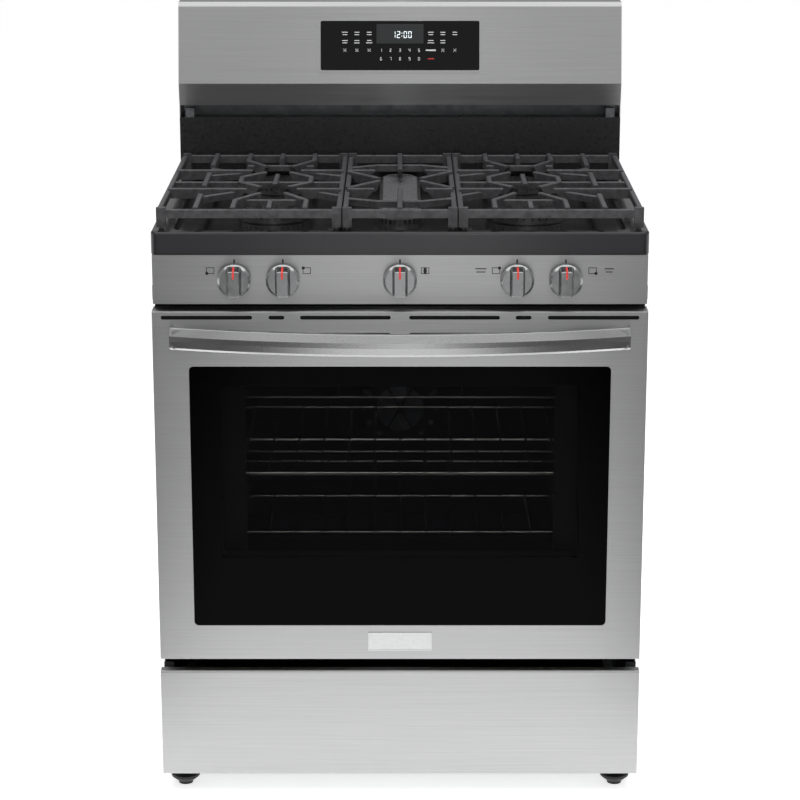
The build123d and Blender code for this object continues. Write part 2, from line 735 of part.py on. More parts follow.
for name, level in zip(("oven_rack_lower", "oven_rack_upper"), rack_levels):
    with BuildPart() as rack:
        for side in (-1, 1):
            x = side * rack_half_width
            rod((x, behind(rack_front), level), (x, behind(rack_back), level), rack_rod)
            rod((x, behind(rack_back), level), (x, behind(rack_back), level + rack_upstand), rack_rod)
        bars = ((rack_front, level), (rack_back, level + rack_upstand), (rack_back, level))
        for distance, height in bars:
            rod((-rack_half_width, behind(distance), height), (rack_half_width, behind(distance), height),
                rack_rod)
        cross_half = liner_half - ledge_reach - 4
        cross_y = behind((rack_front + rack_back) / 2)
        rod((-cross_half, cross_y, level - 1.5), (cross_half, cross_y, level - 1.5), rack_rod)
        for x in wire_places:
            rod((x, behind(rack_front - 5), level + 2.5), (x, behind(rack_back + 2), level + 2.5), rack_wire)
        corners = [(side * rack_half_width, behind(distance), height) for side in (-1, 1)
                   for distance, height in bars]
        with Locations(*corners):
            Sphere(rack_rod)
    rack.part.label = name
    export_step(rack.part, f"parts/{name}.step")

# --- Cooktop ----------------------------------------------------------------------------

top_edge = cooktop_width / 2
well_half = top_edge - well_side_rim
well_front_y = behind(cooktop_front + well_front_rim)
well_back_y = behind(cooktop_back - well_back_rim)
foot_pad_places = [(side * grate_seam, y) for side in (-1, 1)
                   for y in (behind(grate_front + rib), behind(grate_back - rib))]
round_burners = {
    "front_left": (-burner_across, front_burner, 50.0),
    "rear_left": (-burner_across, rear_burner, 42.0),
    "rear_right": (burner_across, rear_burner, 36.0),
    "front_right": (burner_across, front_burner, 57.0),
}
with BuildPart() as cooktop:
    block((-top_edge, top_edge), (behind(cooktop_front), behind(cooktop_back)), (panel_top, cooktop_height))
    fillet(cooktop.edges().filter_by(Axis.Z).group_by(Axis.Y)[0], cooktop_corner)
    fillet(cooktop.faces().sort_by(Axis.Z)[-1].edges(), 4)
    with BuildSketch(Plane.XY.offset(panel_top)) as hollow:
        with Locations((0, behind((cooktop_front + cooktop_back) / 2))):
            RectangleRounded(cooktop_width - 4, cooktop_back - cooktop_front - 4, cooktop_corner - 2)
    extrude(hollow.sketch, amount=well_floor - 2 - panel_top, mode=Mode.SUBTRACT)
    with BuildSketch(Plane.XY.offset(cooktop_height)) as well:
        with Locations((0, (well_front_y + well_back_y) / 2)):
            RectangleRounded(2 * well_half, well_back_y - well_front_y, 18)
    extrude(well.sketch, amount=-well_depth, mode=Mode.SUBTRACT)
    fillet(cooktop.edges().filter_by_position(Axis.Z, well_floor, well_floor), 2)
    for x, y in foot_pad_places:
        block((x - 22, x + 22), (y - 10, y + 10), (well_floor - 1, cooktop_height))
    for x, distance, radius in round_burners.values():
        rod((x, behind(distance), well_floor - 2), (x, behind(distance), well_floor + 1.5), radius + 6)
        rod((x, behind(distance), panel_top), (x, behind(distance), cooktop_height), burner_throat + 0.5,
            Mode.SUBTRACT)
    rod((0, behind(middle_burner), panel_top), (0, behind(middle_burner), cooktop_height),
        burner_throat + 0.5, Mode.SUBTRACT)
cooktop.part.label = "cooktop"
export_step(cooktop.part, "parts/cooktop.step")

head_base = well_floor + 1.5
head_top = head_base + burner_head_height
throat_bottom = panel_top + 4.5

with BuildPart() as burner_heads:
    for x, distance, radius in round_burners.values():
        rod((x, behind(distance), head_base), (x, behind(distance), head_top), radius)
        with BuildSketch(Plane.XY.offset(head_top)) as ports:
            with Locations((x, behind(distance))):
                with PolarLocations(radius - 3, 30):
                    Rectangle(10, port_width)
        extrude(ports.sketch, amount=-burner_head_height * 0.6, mode=Mode.SUBTRACT)
        rod((x, behind(distance), throat_bottom), (x, behind(distance), head_base), burner_throat)
    with BuildSketch(Plane.XY.offset(well_floor)) as oval:
        with Locations((0, behind(middle_burner))):
            SlotOverall(oval_length, oval_width, rotation=90)
    extrude(oval.sketch, amount=head_top - well_floor)
    port_count = 13
    with BuildSketch(Plane.XY.offset(head_top)) as oval_ports:
        reach = oval_length / 2 - oval_width / 2
        for end in (-1, 1):
            for index in range(port_count):
                angle = radians(180 * (index + 0.5) / port_count)
                centre = (cos(angle) * (oval_width / 2 - 3),
                          behind(middle_burner) + end * (reach + sin(angle) * (oval_width / 2 - 3)))
                with Locations(centre):
                    Rectangle(10, port_width, rotation=end * 180 * (index + 0.5) / port_count)
        with Locations((0, behind(middle_burner))):
            with GridLocations(oval_width - 6, 16, 2, 16):
                Rectangle(10, port_width)
    extrude(oval_ports.sketch, amount=-burner_head_height * 0.6, mode=Mode.SUBTRACT)
    rod((0, behind(middle_burner), throat_bottom), (0, behind(middle_burner), well_floor), burner_throat)
burner_heads.part.label = "burner_heads"
export_step(burner_heads.part, "parts/burner_heads.step")

with BuildPart() as burner_caps:
    with BuildSketch(Plane.XY.offset(head_top)) as caps:
        for x, distance, radius in round_burners.values():
            with Locations((x, behind(distance))):
                Circle(radius - 4)
        with Locations((0, behind(middle_burner))):
            SlotOverall(oval_length - 8, oval_width - 8, rotation=90)
    extrude(caps.sketch, amount=burner_cap_height)
    fillet(burner_caps.faces().group_by(Axis.Z)[-1].edges(), 3)
burner_caps.part.label = "burner_caps"
export_step(burner_caps.part, "parts/burner_caps.step")

with BuildPart() as igniters:
    for x, distance, radius in round_burners.values():
        y = behind(distance) + radius + 4
        rod((x, y, well_floor + 1.5), (x, y, head_top - 1), 3)
        rod((x, y, head_top - 1), (x, y, head_top + 3), 1.2)
    y = behind(middle_burner) + oval_length / 2 + 4
    rod((0, y, well_floor), (0, y, head_top - 1), 3)
    rod((0, y, head_top - 1), (0, y, head_top + 3), 1.2)
igniters.part.label = "igniters"
export_step(igniters.part, "parts/igniters.step")

# --- Grates -----------------------------------------------------------------------------

rib_top = grate_top
low_top = grate_top - 5
frame_top = grate_top - 3
rib_bottom = grate_top - rib_depth
iron_foot = cooktop_height + bumper_height
finger_cut = 12.0  # how far a finger's lower edge stops short of its tip


def cast_rib(start, end, top=rib_top, bottom=rib_bottom, cut=0.0, width=rib):
    """An upright rib between two places (x, distance behind the door's face); cut slants its far end."""
    begin = Vector(start[0], behind(start[1]), 0)
    along = Vector(end[0], behind(end[1]), 0) - begin
    sideways = Plane(origin=begin, x_dir=along, z_dir=along.cross(Vector(0, 0, 1)))
    with BuildSketch(sideways) as outline:
        with BuildLine():
            Polyline((0, bottom), (along.length - cut, bottom), (along.length, top - 3), (along.length, top),
                     (0, top), close=True)
        make_face()
    bar = extrude(outline.sketch, amount=width / 2, both=True, mode=Mode.PRIVATE).solid()
    ridges = bar.faces().sort_by(Axis.Z)[-1].edges().filter_by(lambda edge: edge.length > width + 0.1)
    add(bar.chamfer(rib_chamfer, None, ridges))


def grate_foot(x, distance):
    """A leg of the frame with its rubber-tipped foot."""
    y = behind(distance)
    block((x - 7, x + 7), (y - 5, y + 5), (iron_foot, rib_top))
    rod((x, y, cooktop_height + slide_gap), (x, y, iron_foot), bumper_radius)


def grate_ring(low_x, high_x):
    """The frame round one grate: four bars and four feet."""
    inner = (low_x + rib / 2, high_x - rib / 2)
    rows = (grate_front + rib / 2, grate_back - rib / 2)
    for distance in rows:
        cast_rib((low_x, distance), (high_x, distance), frame_top, rib_bottom)
    for x in inner:
        side_top = low_top if abs(x) < grate_seam + rib else frame_top
        cast_rib((x, grate_front), (x, grate_back), side_top, rib_bottom + 2)
    for x in (low_x + 7, high_x - 7):
        for distance in rows:
            grate_foot(x, distance + (1 if distance < middle_burner else -1))


def side_grate():
    """The left grate: a frame, fingers round two burners and a six-sided link between them."""
    left = -grate_outer
    right = -grate_seam - grate_gap / 2
    grate_ring(left, right)
    centre = -burner_across
    middle = (grate_front + grate_back) / 2
    cast_rib((left + 4, middle), (right - 4, middle), low_top, rib_bottom)
    lane = left + 59
    for near, far in ((grate_front + 4, 160), (230, 2 * middle - 230), (2 * middle - 160, grate_back - 4)):
        cast_rib((lane, near), (lane, far))
    for end in (-1, 1):
        row = middle + end * (middle - 206)
        cast_rib((left + 4, row), (centre - 43, row), cut=finger_cut)
        cast_rib((right - 4, row), (centre + 37, row), cut=finger_cut)
        gussets = (((lane, middle + end * 130), (lane + 50, row)),
                   ((lane, middle + end * 62), (lane + 50, row)),
                   ((right - 4, middle + end * 60), (right - 50, row)),
                   ((right - 4, middle + end * 118), (right - 40, row)))
        for start, finish in gussets:
            cast_rib(start, finish, low_top, rib_bottom)
        edge = middle + end * (middle - grate_front - 4)
        for side in (-1, 1):
            elbow = (centre + side * 55, middle + end * (middle - 110))
            cast_rib((elbow[0], edge), elbow)
            cast_rib(elbow, (centre + side * 20, middle + end * (middle - 170)), cut=finger_cut)
            bend = (centre + side * 56, middle + end * 24)
            cast_rib((bend[0], middle), (bend[0], bend[1] + end * 2))
            cast_rib(bend, (centre + side * 21, middle + end * 68), cut=finger_cut)
        brace = middle + end * (middle - 134)
        cast_rib((centre - 55, brace), (centre + 55, brace), low_top, rib_bottom + 2)
        cast_rib((centre, edge), (centre, middle + end * (middle - 98)))
        cast_rib((centre, middle), (centre, middle + end * 46), cut=4)


def centre_grate():
    """The middle grate: a frame with arms that reach in over the long burner."""
    edge = grate_seam - grate_gap / 2
    grate_ring(-edge, edge)
    middle = (grate_front + grate_back) / 2
    for end in (-1, 1):
        outer = middle + end * (middle - grate_front - 4)
        cast_rib((0, outer), (0, middle + end * (middle - 200)), cut=finger_cut)
        cross = middle + end * (middle - 127)
        cast_rib((-38, cross), (38, cross), low_top, rib_bottom)
        for side in (-1, 1):
            wall = side * (edge - 4)
            cast_rib((wall, middle + end * (middle - 206)), (side * 41, middle + end * (middle - 206)),
                     cut=finger_cut)
            cast_rib((wall, middle + end * (middle - 151)), (side * 36, cross), low_top, rib_bottom)
            cast_rib((wall, middle + end * 76), (side * 34, middle + end * 12), cut=finger_cut)


with BuildPart() as grate_left:
    side_grate()
grate_left.part.label = "grate_left"
export_step(grate_left.part, "parts/grate_left.step")

with BuildPart() as grate_right:
    mirror(grate_left.part, about=Plane.YZ)
grate_right.part.label = "grate_right"
export_step(grate_right.part, "parts/grate_right.step")

with BuildPart() as grate_center:
    centre_grate()
grate_center.part.label = "grate_center"
export_step(grate_center.part, "parts/grate_center.step")

# --- Control panel, gas and knobs -------------------------------------------------------

panel_y = behind(panel_face)

with BuildPart() as control_panel:
    block((-side_edge, side_edge), (panel_y, frame_y), (panel_bottom, panel_top))
    block((-side_edge + sheet, side_edge - sheet), (panel_y + sheet, frame_y),
          (panel_bottom + sheet, panel_top - sheet), Mode.SUBTRACT)
    for x in knob_places:
        rod((x, panel_y - 1, knob_z), (x, panel_y + 2 * sheet, knob_z), stem_hole, Mode.SUBTRACT)
    for side in (-1, 1):
        block(span(side, side_edge, side_edge + side_gap), (panel_y + 4, frame_y),
              (panel_bottom + 6, panel_bottom + 28))
control_panel.part.label = "control_panel"
export_step(control_panel.part, "parts/control_panel.step")

valve_y = behind(valve_face)
manifold_y = valve_y + valve_length + manifold_radius
supply_x = side_edge - 26.0
supply_y = behind(case_depth - 42)

with BuildPart() as manifold_pipe:
    rod((knob_places[0] - 30, manifold_y, knob_z), (supply_x, manifold_y, knob_z), manifold_radius)
    rod((supply_x, manifold_y, knob_z), (supply_x, supply_y, knob_z), manifold_radius)
    rod((supply_x, supply_y, knob_z), (supply_x, supply_y, inlet_z + 24), manifold_radius)
    with Locations((supply_x, manifold_y, knob_z), (supply_x, supply_y, knob_z)):
        Sphere(manifold_radius)
manifold_pipe.part.label = "manifold_pipe"
export_step(manifold_pipe.part, "parts/manifold_pipe.step")

tube_level = panel_top - tube_drop
valve_outlet = knob_z + valve_radius
valve_mid_y = valve_y + valve_length / 2

with BuildPart() as gas_valves:
    for x in knob_places:
        rod((x, valve_y, knob_z), (x, valve_y + valve_length, knob_z), valve_radius)
        rod((x, valve_mid_y, knob_z), (x, valve_mid_y, valve_outlet), 6)
        rod((x, valve_y - 1, knob_z), (x, valve_y + 16, knob_z), stem_radius + running_gap, Mode.SUBTRACT)
gas_valves.part.label = "gas_valves"
export_step(gas_valves.part, "parts/gas_valves.step")

burner_order = ("front_left", "rear_left", None, "rear_right", "front_right")

with BuildPart() as burner_tubes:
    for x, burner in zip(knob_places, burner_order):
        burner_x, distance = round_burners[burner][:2] if burner else (x, middle_burner)
        burner_y = behind(distance)
        route = [(x, valve_mid_y, valve_outlet), (x, valve_mid_y, tube_level), (x, burner_y, tube_level)]
        if burner_x != x:
            route.append((burner_x, burner_y, tube_level))
        route.append((burner_x, burner_y, throat_bottom))
        with BuildLine() as tube_path:
            FilletPolyline(*route, radius=tube_bend)
        with BuildSketch(Plane(origin=route[0], z_dir=(0, 0, 1))) as tube_section:
            Circle(tube_radius)
        sweep(tube_section.sketch, path=tube_path.line)
burner_tubes.part.label = "burner_tubes"
export_step(burner_tubes.part, "parts/burner_tubes.step")

with BuildPart() as pressure_regulator:
    rod((supply_x, supply_y, inlet_z + 24), (supply_x, supply_y, inlet_z - 18), 18)
    rod((supply_x, supply_y, inlet_z - 18), (supply_x, supply_y, inlet_z - 26), 8)
    block((supply_x - 20, supply_x + 20), (supply_y - 20, supply_y + 20), (inlet_z - 5, inlet_z + 5))
    block((inlet_x - 15, inlet_x + 15), (supply_y - 15, rear_y - inlet_length), (inlet_z - 15, inlet_z + 15))
    rod((inlet_x, rear_y - inlet_length, inlet_z), (inlet_x, rear_y, inlet_z), inlet_radius)
    rod((inlet_x, rear_y - inlet_length, inlet_z), (inlet_x, rear_y, inlet_z), inlet_radius - 3,
        Mode.SUBTRACT)
pressure_regulator.part.label = "pressure_regulator"
export_step(pressure_regulator.part, "parts/pressure_regulator.step")

stem_front_y = knob_base_y - 8
stem_back_y = valve_y + 12

for number, x in enumerate(knob_places, start=1):
    with BuildPart() as valve_stem:
        rod((x, stem_front_y, knob_z), (x, stem_back_y, knob_z), stem_radius)
        rod((x, valve_y - stem_travel - 3, knob_z), (x, valve_y - stem_travel - 1, knob_z), stem_radius + 2.5)
    valve_stem.part.label = f"valve_stem_{number}"
    export_step(valve_stem.part, f"parts/valve_stem_{number}.step")

    with BuildPart() as knob:
        grip_front_y = knob_base_y - knob_ring - knob_grip
        rod((x, knob_base_y, knob_z), (x, knob_base_y - knob_ring, knob_z), knob_radius)
        chamfer(knob.edges().group_by(Axis.Y)[0], 3.5)
        with BuildSketch(front_plane(knob_base_y - knob_ring)) as grip_foot:
            with Locations((x, knob_z)):
                RectangleRounded(23, 47, 5)
        with BuildSketch(front_plane(grip_front_y)) as grip_head:
            with Locations((x, knob_z - 1)):
                RectangleRounded(19, 39, 4)
        loft([grip_foot.sketch, grip_head.sketch])
        fillet(knob.edges().group_by(Axis.Y)[0], 1.6)
        rod((x, knob_base_y + 1, knob_z), (x, stem_front_y - stem_travel, knob_z), stem_radius + running_gap,
            Mode.SUBTRACT)
    knob.part.label = f"knob_{number}"
    export_step(knob.part, f"parts/knob_{number}.step")

# --- Backguard --------------------------------------------------------------------------

splash_y = behind(cooktop_back)

with BuildPart() as splash_panel:
    block((-door_edge, door_edge), (splash_y, splash_y + sheet), (panel_top, splash_top))
    block((-door_edge, door_edge), (splash_y, splash_y + 30), (splash_top - sheet, splash_top))
    for side in (-1, 1):
        block(span(side, door_edge - sheet, door_edge), (splash_y, back_panel_y), (panel_top, splash_top))
splash_panel.part.label = "splash_panel"
export_step(splash_panel.part, "parts/splash_panel.step")

backguard_line = [(splash_y + sheet, vent_top), (behind(backguard_edge_face), backguard_edge),
                  (behind(backguard_top_face), overall_height - backguard_shoulder),
                  (behind(backguard_top_face) + 8, overall_height), (back_panel_y, overall_height)]
lean = Vector(0, backguard_top_face - backguard_edge_face,
              overall_height - backguard_shoulder - backguard_edge).normalized()
display_z = (backguard_edge + overall_height - backguard_shoulder) / 2 - 1
face_share = (display_z - backguard_edge) / (overall_height - backguard_shoulder - backguard_edge)
display_y = behind(backguard_edge_face + face_share * (backguard_top_face - backguard_edge_face))
display_plane = Plane(origin=(0, display_y, display_z), x_dir=(1, 0, 0), z_dir=Vector(1, 0, 0).cross(lean))

with BuildPart() as backguard_shell:
    folded(Plane.YZ, door_width, *reversed(backguard_line))
    for side in (-1, 1):
        with BuildSketch(Plane.YZ.offset(side * (door_edge - sheet / 2))) as cheek:
            with BuildLine():
                Polyline((splash_y + sheet, splash_top), *backguard_line, (back_panel_y, splash_top),
                         close=True)
            make_face()
        extrude(cheek.sketch, amount=sheet / 2, both=True)
        block(span(side, side_edge - case_flange, door_edge - sheet / 2),
              (back_panel_y - sheet, back_panel_y), (splash_top, overall_height - 4))
    for x, z in upper_screws:
        rod((x, back_panel_y - 3 * sheet, z), (x, back_panel_y, z), screw_radius + hole_gap, Mode.SUBTRACT)
    pane(display_plane.offset(0.8), (0, 0), display_width + 8, display_height + 8, 5, 0.8 + sheet / 2)
    pane(display_plane.offset(2), (0, 0), display_width, display_height, 3, 8, Mode.SUBTRACT)
backguard_shell.part.label = "backguard_shell"
export_step(backguard_shell.part, "parts/backguard_shell.step")

with BuildPart() as vent_end_blocks:
    for side in (-1, 1):
        block(span(side, door_edge - 25, door_edge - 10), (splash_y + 1, splash_y + 14),
              (splash_top, vent_top - 5))
vent_end_blocks.part.label = "vent_end_blocks"
export_step(vent_end_blocks.part, "parts/vent_end_blocks.step")

with BuildPart() as control_glass:
    pane(display_plane.offset(1.2), (0, 0), display_width - 0.6, display_height - 0.6, 2.7, glass_thickness)
control_glass.part.label = "control_glass"
export_step(control_glass.part, "parts/control_glass.step")

board_plane = display_plane.offset(1.2 - glass_thickness)

with BuildPart() as control_board:
    pane(board_plane, (0, 0), display_width - 20, display_height - 16, 2, 3)
    for x, width in ((-90, 44), (-20, 60), (70, 30)):
        pane(board_plane.offset(-3), (x, 0), width, 34, 2, 12)
control_board.part.label = "control_board"
export_step(control_board.part, "parts/control_board.step")

with BuildPart() as cord_gland:
    rod((gland_x, back_panel_y - 10, gland_z), (gland_x, rear_y, gland_z), gland_radius - hole_gap)
    rod((gland_x, back_panel_y + sheet, gland_z), (gland_x, rear_y, gland_z), gland_radius + 4)
    rod((gland_x, back_panel_y - 10, gland_z), (gland_x, rear_y, gland_z), gland_bore, Mode.SUBTRACT)
cord_gland.part.label = "cord_gland"
export_step(cord_gland.part, "parts/cord_gland.step")
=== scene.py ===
# %% [markdown]
# # A freestanding gas range
#
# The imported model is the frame. Its pieces already have their real shapes, sizes and places, so
# this lesson is about their surfaces: brushed steel, enamel, cast iron and printed glass. The few
# things that the model leaves out, such as printed marks and lit digits, are added here.

# %% Load the frame
import json
import math

import bmesh
import bpy
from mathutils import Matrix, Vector
from mathutils.bvhtree import BVHTree


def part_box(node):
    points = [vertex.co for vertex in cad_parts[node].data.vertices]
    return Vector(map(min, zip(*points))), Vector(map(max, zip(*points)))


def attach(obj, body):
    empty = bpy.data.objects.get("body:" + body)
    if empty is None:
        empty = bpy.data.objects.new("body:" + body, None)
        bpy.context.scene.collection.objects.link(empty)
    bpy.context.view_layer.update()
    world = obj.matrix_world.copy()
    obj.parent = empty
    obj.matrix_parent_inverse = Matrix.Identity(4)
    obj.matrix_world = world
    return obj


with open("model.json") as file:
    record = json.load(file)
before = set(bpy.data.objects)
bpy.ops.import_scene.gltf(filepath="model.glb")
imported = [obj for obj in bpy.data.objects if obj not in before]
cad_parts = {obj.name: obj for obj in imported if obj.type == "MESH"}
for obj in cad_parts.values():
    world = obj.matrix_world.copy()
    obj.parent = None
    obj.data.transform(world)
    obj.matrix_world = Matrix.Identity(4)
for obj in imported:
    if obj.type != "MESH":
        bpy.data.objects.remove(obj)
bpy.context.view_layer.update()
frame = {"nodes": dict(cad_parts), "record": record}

# %% [markdown]
# ## Colour, size and node helpers
#
# Colours are written as sRGB hex, as a paint chart gives them, and the shader wants linear light.
# Patterns are written in millimetres, as they would be measured with a loupe. A noise texture's
# scale is how many of its features fit in one metre, so one function turns the one into the other.

# %% Colour and size helpers
MM = 0.001


def linear(hex_colour):
    """An sRGB hex colour as the linear RGBA that shaders use."""
    channels = [int(hex_colour[place:place + 2], 16) / 255 for place in (1, 3, 5)]
    toned = [c / 12.92 if c <= 0.04045 else ((c + 0.055) / 1.055) ** 2.4 for c in channels]
    return (*toned, 1.0)


def per_metre(size_mm):
    """A texture scale that makes its features this many millimetres across."""
    return 1000 / size_mm


print("mid grey:", round(linear("#808080")[0], 3), "  2 mm grain:", per_metre(2))

# %% [markdown]
# A node graph could be drawn by hand, or built by one function for each kind of node. One function
# that adds any node is enough: it says the node's kind, the values in its sockets, the links that
# feed it and its own options, so a recipe below reads from top to bottom.

# %% Material helpers


def new_material(name, colour, **sockets):
    """A Principled material. Sockets are its other inputs, written with _ for a space."""
    material = bpy.data.materials.new(name)
    material.use_nodes = True
    shader = material.node_tree.nodes["Principled BSDF"]
    shader.inputs["Base Color"].default_value = linear(colour)
    for socket, value in sockets.items():
        shader.inputs[socket.replace("_", " ")].default_value = value
    return material


def add_node(material, kind, values=None, links=None, **settings):
    """Adds one node. Values fill its sockets, links feed them, and settings are its own options."""
    node = material.node_tree.nodes.new(kind)
    for name, value in settings.items():
        setattr(node, name, value)
    for socket, value in (values or {}).items():
        node.inputs[socket].default_value = value
    for socket, source in (links or {}).items():
        material.node_tree.links.new(source, node.inputs[socket])
    return node


def feed(material, socket, source):
    """Feeds one of the Principled shader's sockets from another node."""
    shader = material.node_tree.nodes["Principled BSDF"]
    material.node_tree.links.new(source, shader.inputs[socket])


print("helpers:", new_material.__name__, add_node.__name__, feed.__name__)

# %% [markdown]
# ## One recipe for a grained surface
#
# Most finishes here are one even substance whose grain shows three times over: a little in its
# tone, a little in its polish and as a shallow relief. Each could have its own pattern, but on a
# real surface they come from the same marks, so one noise drives all three. The grain has its own
# size along X, Y and Z, which also makes the long scratches of a brushed finish.

# %% The grained surface
NOISE_LOW, NOISE_HIGH = 0.3, 0.7  # where nearly all of a noise texture's values lie


def grained(material, size_mm, tones=None, polish=None, depth_mm=0.02, strength=0.5, detail=2.0, over=None):
    """Grain of one size: tones dark to light, roughness low to high, and relief over another."""
    place = add_node(material, "ShaderNodeTexCoord")
    stretch = add_node(material, "ShaderNodeMapping", {"Scale": [per_metre(size) for size in size_mm]},
                       {"Vector": place.outputs["Object"]})
    noise = add_node(material, "ShaderNodeTexNoise", {"Scale": 1.0, "Detail": detail, "Roughness": 0.55},
                     {"Vector": stretch.outputs["Vector"]})
    if tones:
        ramp = add_node(material, "ShaderNodeValToRGB", links={"Fac": noise.outputs["Fac"]})
        for stop, position, colour in zip(ramp.color_ramp.elements, (NOISE_LOW, NOISE_HIGH), tones):
            stop.position, stop.color = position, linear(colour)
        feed(material, "Base Color", ramp.outputs["Color"])
    if polish:
        limits = {"From Min": NOISE_LOW, "From Max": NOISE_HIGH, "To Min": polish[0], "To Max": polish[1]}
        spread = add_node(material, "ShaderNodeMapRange", limits, {"Value": noise.outputs["Fac"]})
        feed(material, "Roughness", spread.outputs["Result"])
    relief = add_node(material, "ShaderNodeBump", {"Strength": strength, "Distance": depth_mm * MM},
                      {"Height": noise.outputs["Fac"]})
    if over:
        material.node_tree.links.new(over.outputs["Normal"], relief.inputs["Normal"])
    feed(material, "Normal", relief.outputs["Normal"])
    return relief


print("noise is spread from", NOISE_LOW, "to", NOISE_HIGH)

# %% [markdown]
# ## Brushed stainless steel
#
# The panels are sheet stainless with a directional brushed finish. A belt runs along X and leaves
# scratches hundreds of times longer than they are wide, so a highlight stays narrow across the
# range but spreads up and down: the shader's anisotropy, turned a quarter from the brushing. Real
# scratches are about 0.05 mm wide. Those would vanish at this distance, so they are drawn at 0.6 mm.

# %% Brushed stainless steel


def brushed_steel(name, dark, light, roughness, groove_mm=0.6, length_mm=180, depth_mm=0.002):
    """Stainless steel brushed along X, with a slow cloudiness from rolling."""
    material = new_material(name, light, Metallic=1.0, Anisotropic=0.7, Anisotropic_Rotation=0.25)
    rolling = grained(material, (900, 240, 240), depth_mm=0.3, detail=1.0)
    grained(material, (length_mm, groove_mm, groove_mm), (dark, light), (roughness - 0.04, roughness + 0.05),
            depth_mm, 0.5, 3.0, rolling)
    tangent = add_node(material, "ShaderNodeTangent", direction_type="RADIAL", axis="Z")
    feed(material, "Tangent", tangent.outputs["Tangent"])
    return material


stainless_panel = brushed_steel("brushed_stainless_panel", "#b6b7b7", "#c8c8c8", 0.36)
stainless_handle = brushed_steel("brushed_stainless_handle", "#bebfbf", "#c9c9c9", 0.3, 0.35, 60, 0.001)
print("steel:", stainless_panel.name, stainless_handle.name)

# %% [markdown]
# ## Vitreous enamel
#
# The cooktop, the splash panel and the burner caps are steel fused with black glass. It is smooth,
# hard and very glossy, with a faint orange peel where the glass flowed. The lip that hangs down the
# cooktop's front is the same enamel, with a lighter dark grey painted on its face as a painted
# reflection. The splash is satin.
# The long cap in the middle is greyer than the round ones: partly its own satin tone, partly a
# painted reflection of the steel round it. So its tone changes with the place.

# %% Vitreous enamel


def enamel(name, dark, light, roughness, peel_mm=7.0):
    """Fired glass on steel: a dark body under its own gloss, with a soft orange peel."""
    material = new_material(name, light, Roughness=roughness, IOR=1.52)
    grained(material, (peel_mm, peel_mm, peel_mm), (dark, light), (roughness * 0.85, roughness * 1.2),
            0.03, 0.35, 1.0)
    return material


cooktop_enamel = enamel("black_vitreous_enamel", "#101011", "#151516", 0.14)
splash_enamel = enamel("satin_splash_enamel", "#1a1a1b", "#1e1e1f", 0.3)
cap_enamel = enamel("burner_cap_enamel", "#171718", "#1d1d1e", 0.24, 3.0)

# The lighter grey on the lip's front face is a painted reflection. It fades to the black enamel within 5 mm
# behind that face.
LIP_REFLECTION_DEPTH = 5 * MM
lip_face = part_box("cooktop")[0].y
lip_place = add_node(cooktop_enamel, "ShaderNodeTexCoord")
lip_axes = add_node(cooktop_enamel, "ShaderNodeSeparateXYZ", links={"Vector": lip_place.outputs["Object"]})
lip_reflection_mask = add_node(cooktop_enamel, "ShaderNodeMapRange",
                    {"From Min": lip_face, "From Max": lip_face + LIP_REFLECTION_DEPTH},
                    {"Value": lip_axes.outputs["Y"]})
lip_painted_reflection = add_node(cooktop_enamel, "ShaderNodeValToRGB", links={"Fac": lip_reflection_mask.outputs["Result"]})
for stop, colour in zip(lip_painted_reflection.color_ramp.elements, ("#2f2f31", "#131314")):
    stop.color = linear(colour)
feed(cooktop_enamel, "Base Color", lip_painted_reflection.outputs["Color"])

# The centre cap's lighter grey is partly its own tone and partly a painted reflection of the steel.
CENTRE_CAP_HALF_WIDTH = 50 * MM
cap_place = add_node(cap_enamel, "ShaderNodeTexCoord")
cap_axes = add_node(cap_enamel, "ShaderNodeSeparateXYZ", links={"Vector": cap_place.outputs["Object"]})
cap_side = add_node(cap_enamel, "ShaderNodeMath", links={0: cap_axes.outputs["X"]}, operation="ABSOLUTE")
cap_step = add_node(cap_enamel, "ShaderNodeMapRange",
                    {"From Min": CENTRE_CAP_HALF_WIDTH, "From Max": CENTRE_CAP_HALF_WIDTH + MM},
                    {"Value": cap_side.outputs[0]})
cap_tone_and_painted_reflection = add_node(cap_enamel, "ShaderNodeValToRGB", links={"Fac": cap_step.outputs["Result"]})
for stop, colour in zip(cap_tone_and_painted_reflection.color_ramp.elements, ("#5c5c5e", "#171718")):
    stop.color = linear(colour)
feed(cap_enamel, "Base Color", cap_tone_and_painted_reflection.outputs["Color"])
print("enamel:", cooktop_enamel.name, splash_enamel.name, cap_enamel.name)

# %% [markdown]
# The oven's enamel is the same frit with pale specks in it, fired matter so that fingermarks don't
# show. A Voronoi texture's cells have one point each, and the specks are the spots near the points.

# %% Speckled oven enamel
oven_enamel = enamel("speckled_oven_enamel", "#1b1b1e", "#1f1f22", 0.34, 4.0)
speck_place = add_node(oven_enamel, "ShaderNodeTexCoord")
speck_cells = add_node(oven_enamel, "ShaderNodeTexVoronoi", {"Scale": per_metre(5)},
                       {"Vector": speck_place.outputs["Object"]})
speck_ramp = add_node(oven_enamel, "ShaderNodeValToRGB", links={"Fac": speck_cells.outputs["Distance"]})
for stop, position, colour in zip(speck_ramp.color_ramp.elements, (0.10, 0.16), ("#75767c", "#1b1b1e")):
    stop.position, stop.color = position, linear(colour)
feed(oven_enamel, "Base Color", speck_ramp.outputs["Color"])
print("oven:", oven_enamel.name)

# %% [markdown]
# ## Cast iron
#
# The grates are sand-cast iron under a thin matt enamel. The sand leaves a grain of about 0.4 mm,
# drawn here at 1.4 mm so that it shows. The ribs' top edges are chamfered in the model and catch
# the light as thin lines, so the enamel keeps some gloss. Broad stains vary the tone over 9 mm.

# %% Cast iron
cast_iron = new_material("matt_cast_iron", "#3a3a3c", Roughness=0.5, IOR=1.5)
stains = grained(cast_iron, (9, 9, 9), ("#313133", "#474749"), None, 0.25, 0.4, 2.0)
grained(cast_iron, (1.4, 1.4, 1.4), None, (0.32, 0.46), 0.08, 0.5, 3.0, stains)
print("iron:", cast_iron.name)

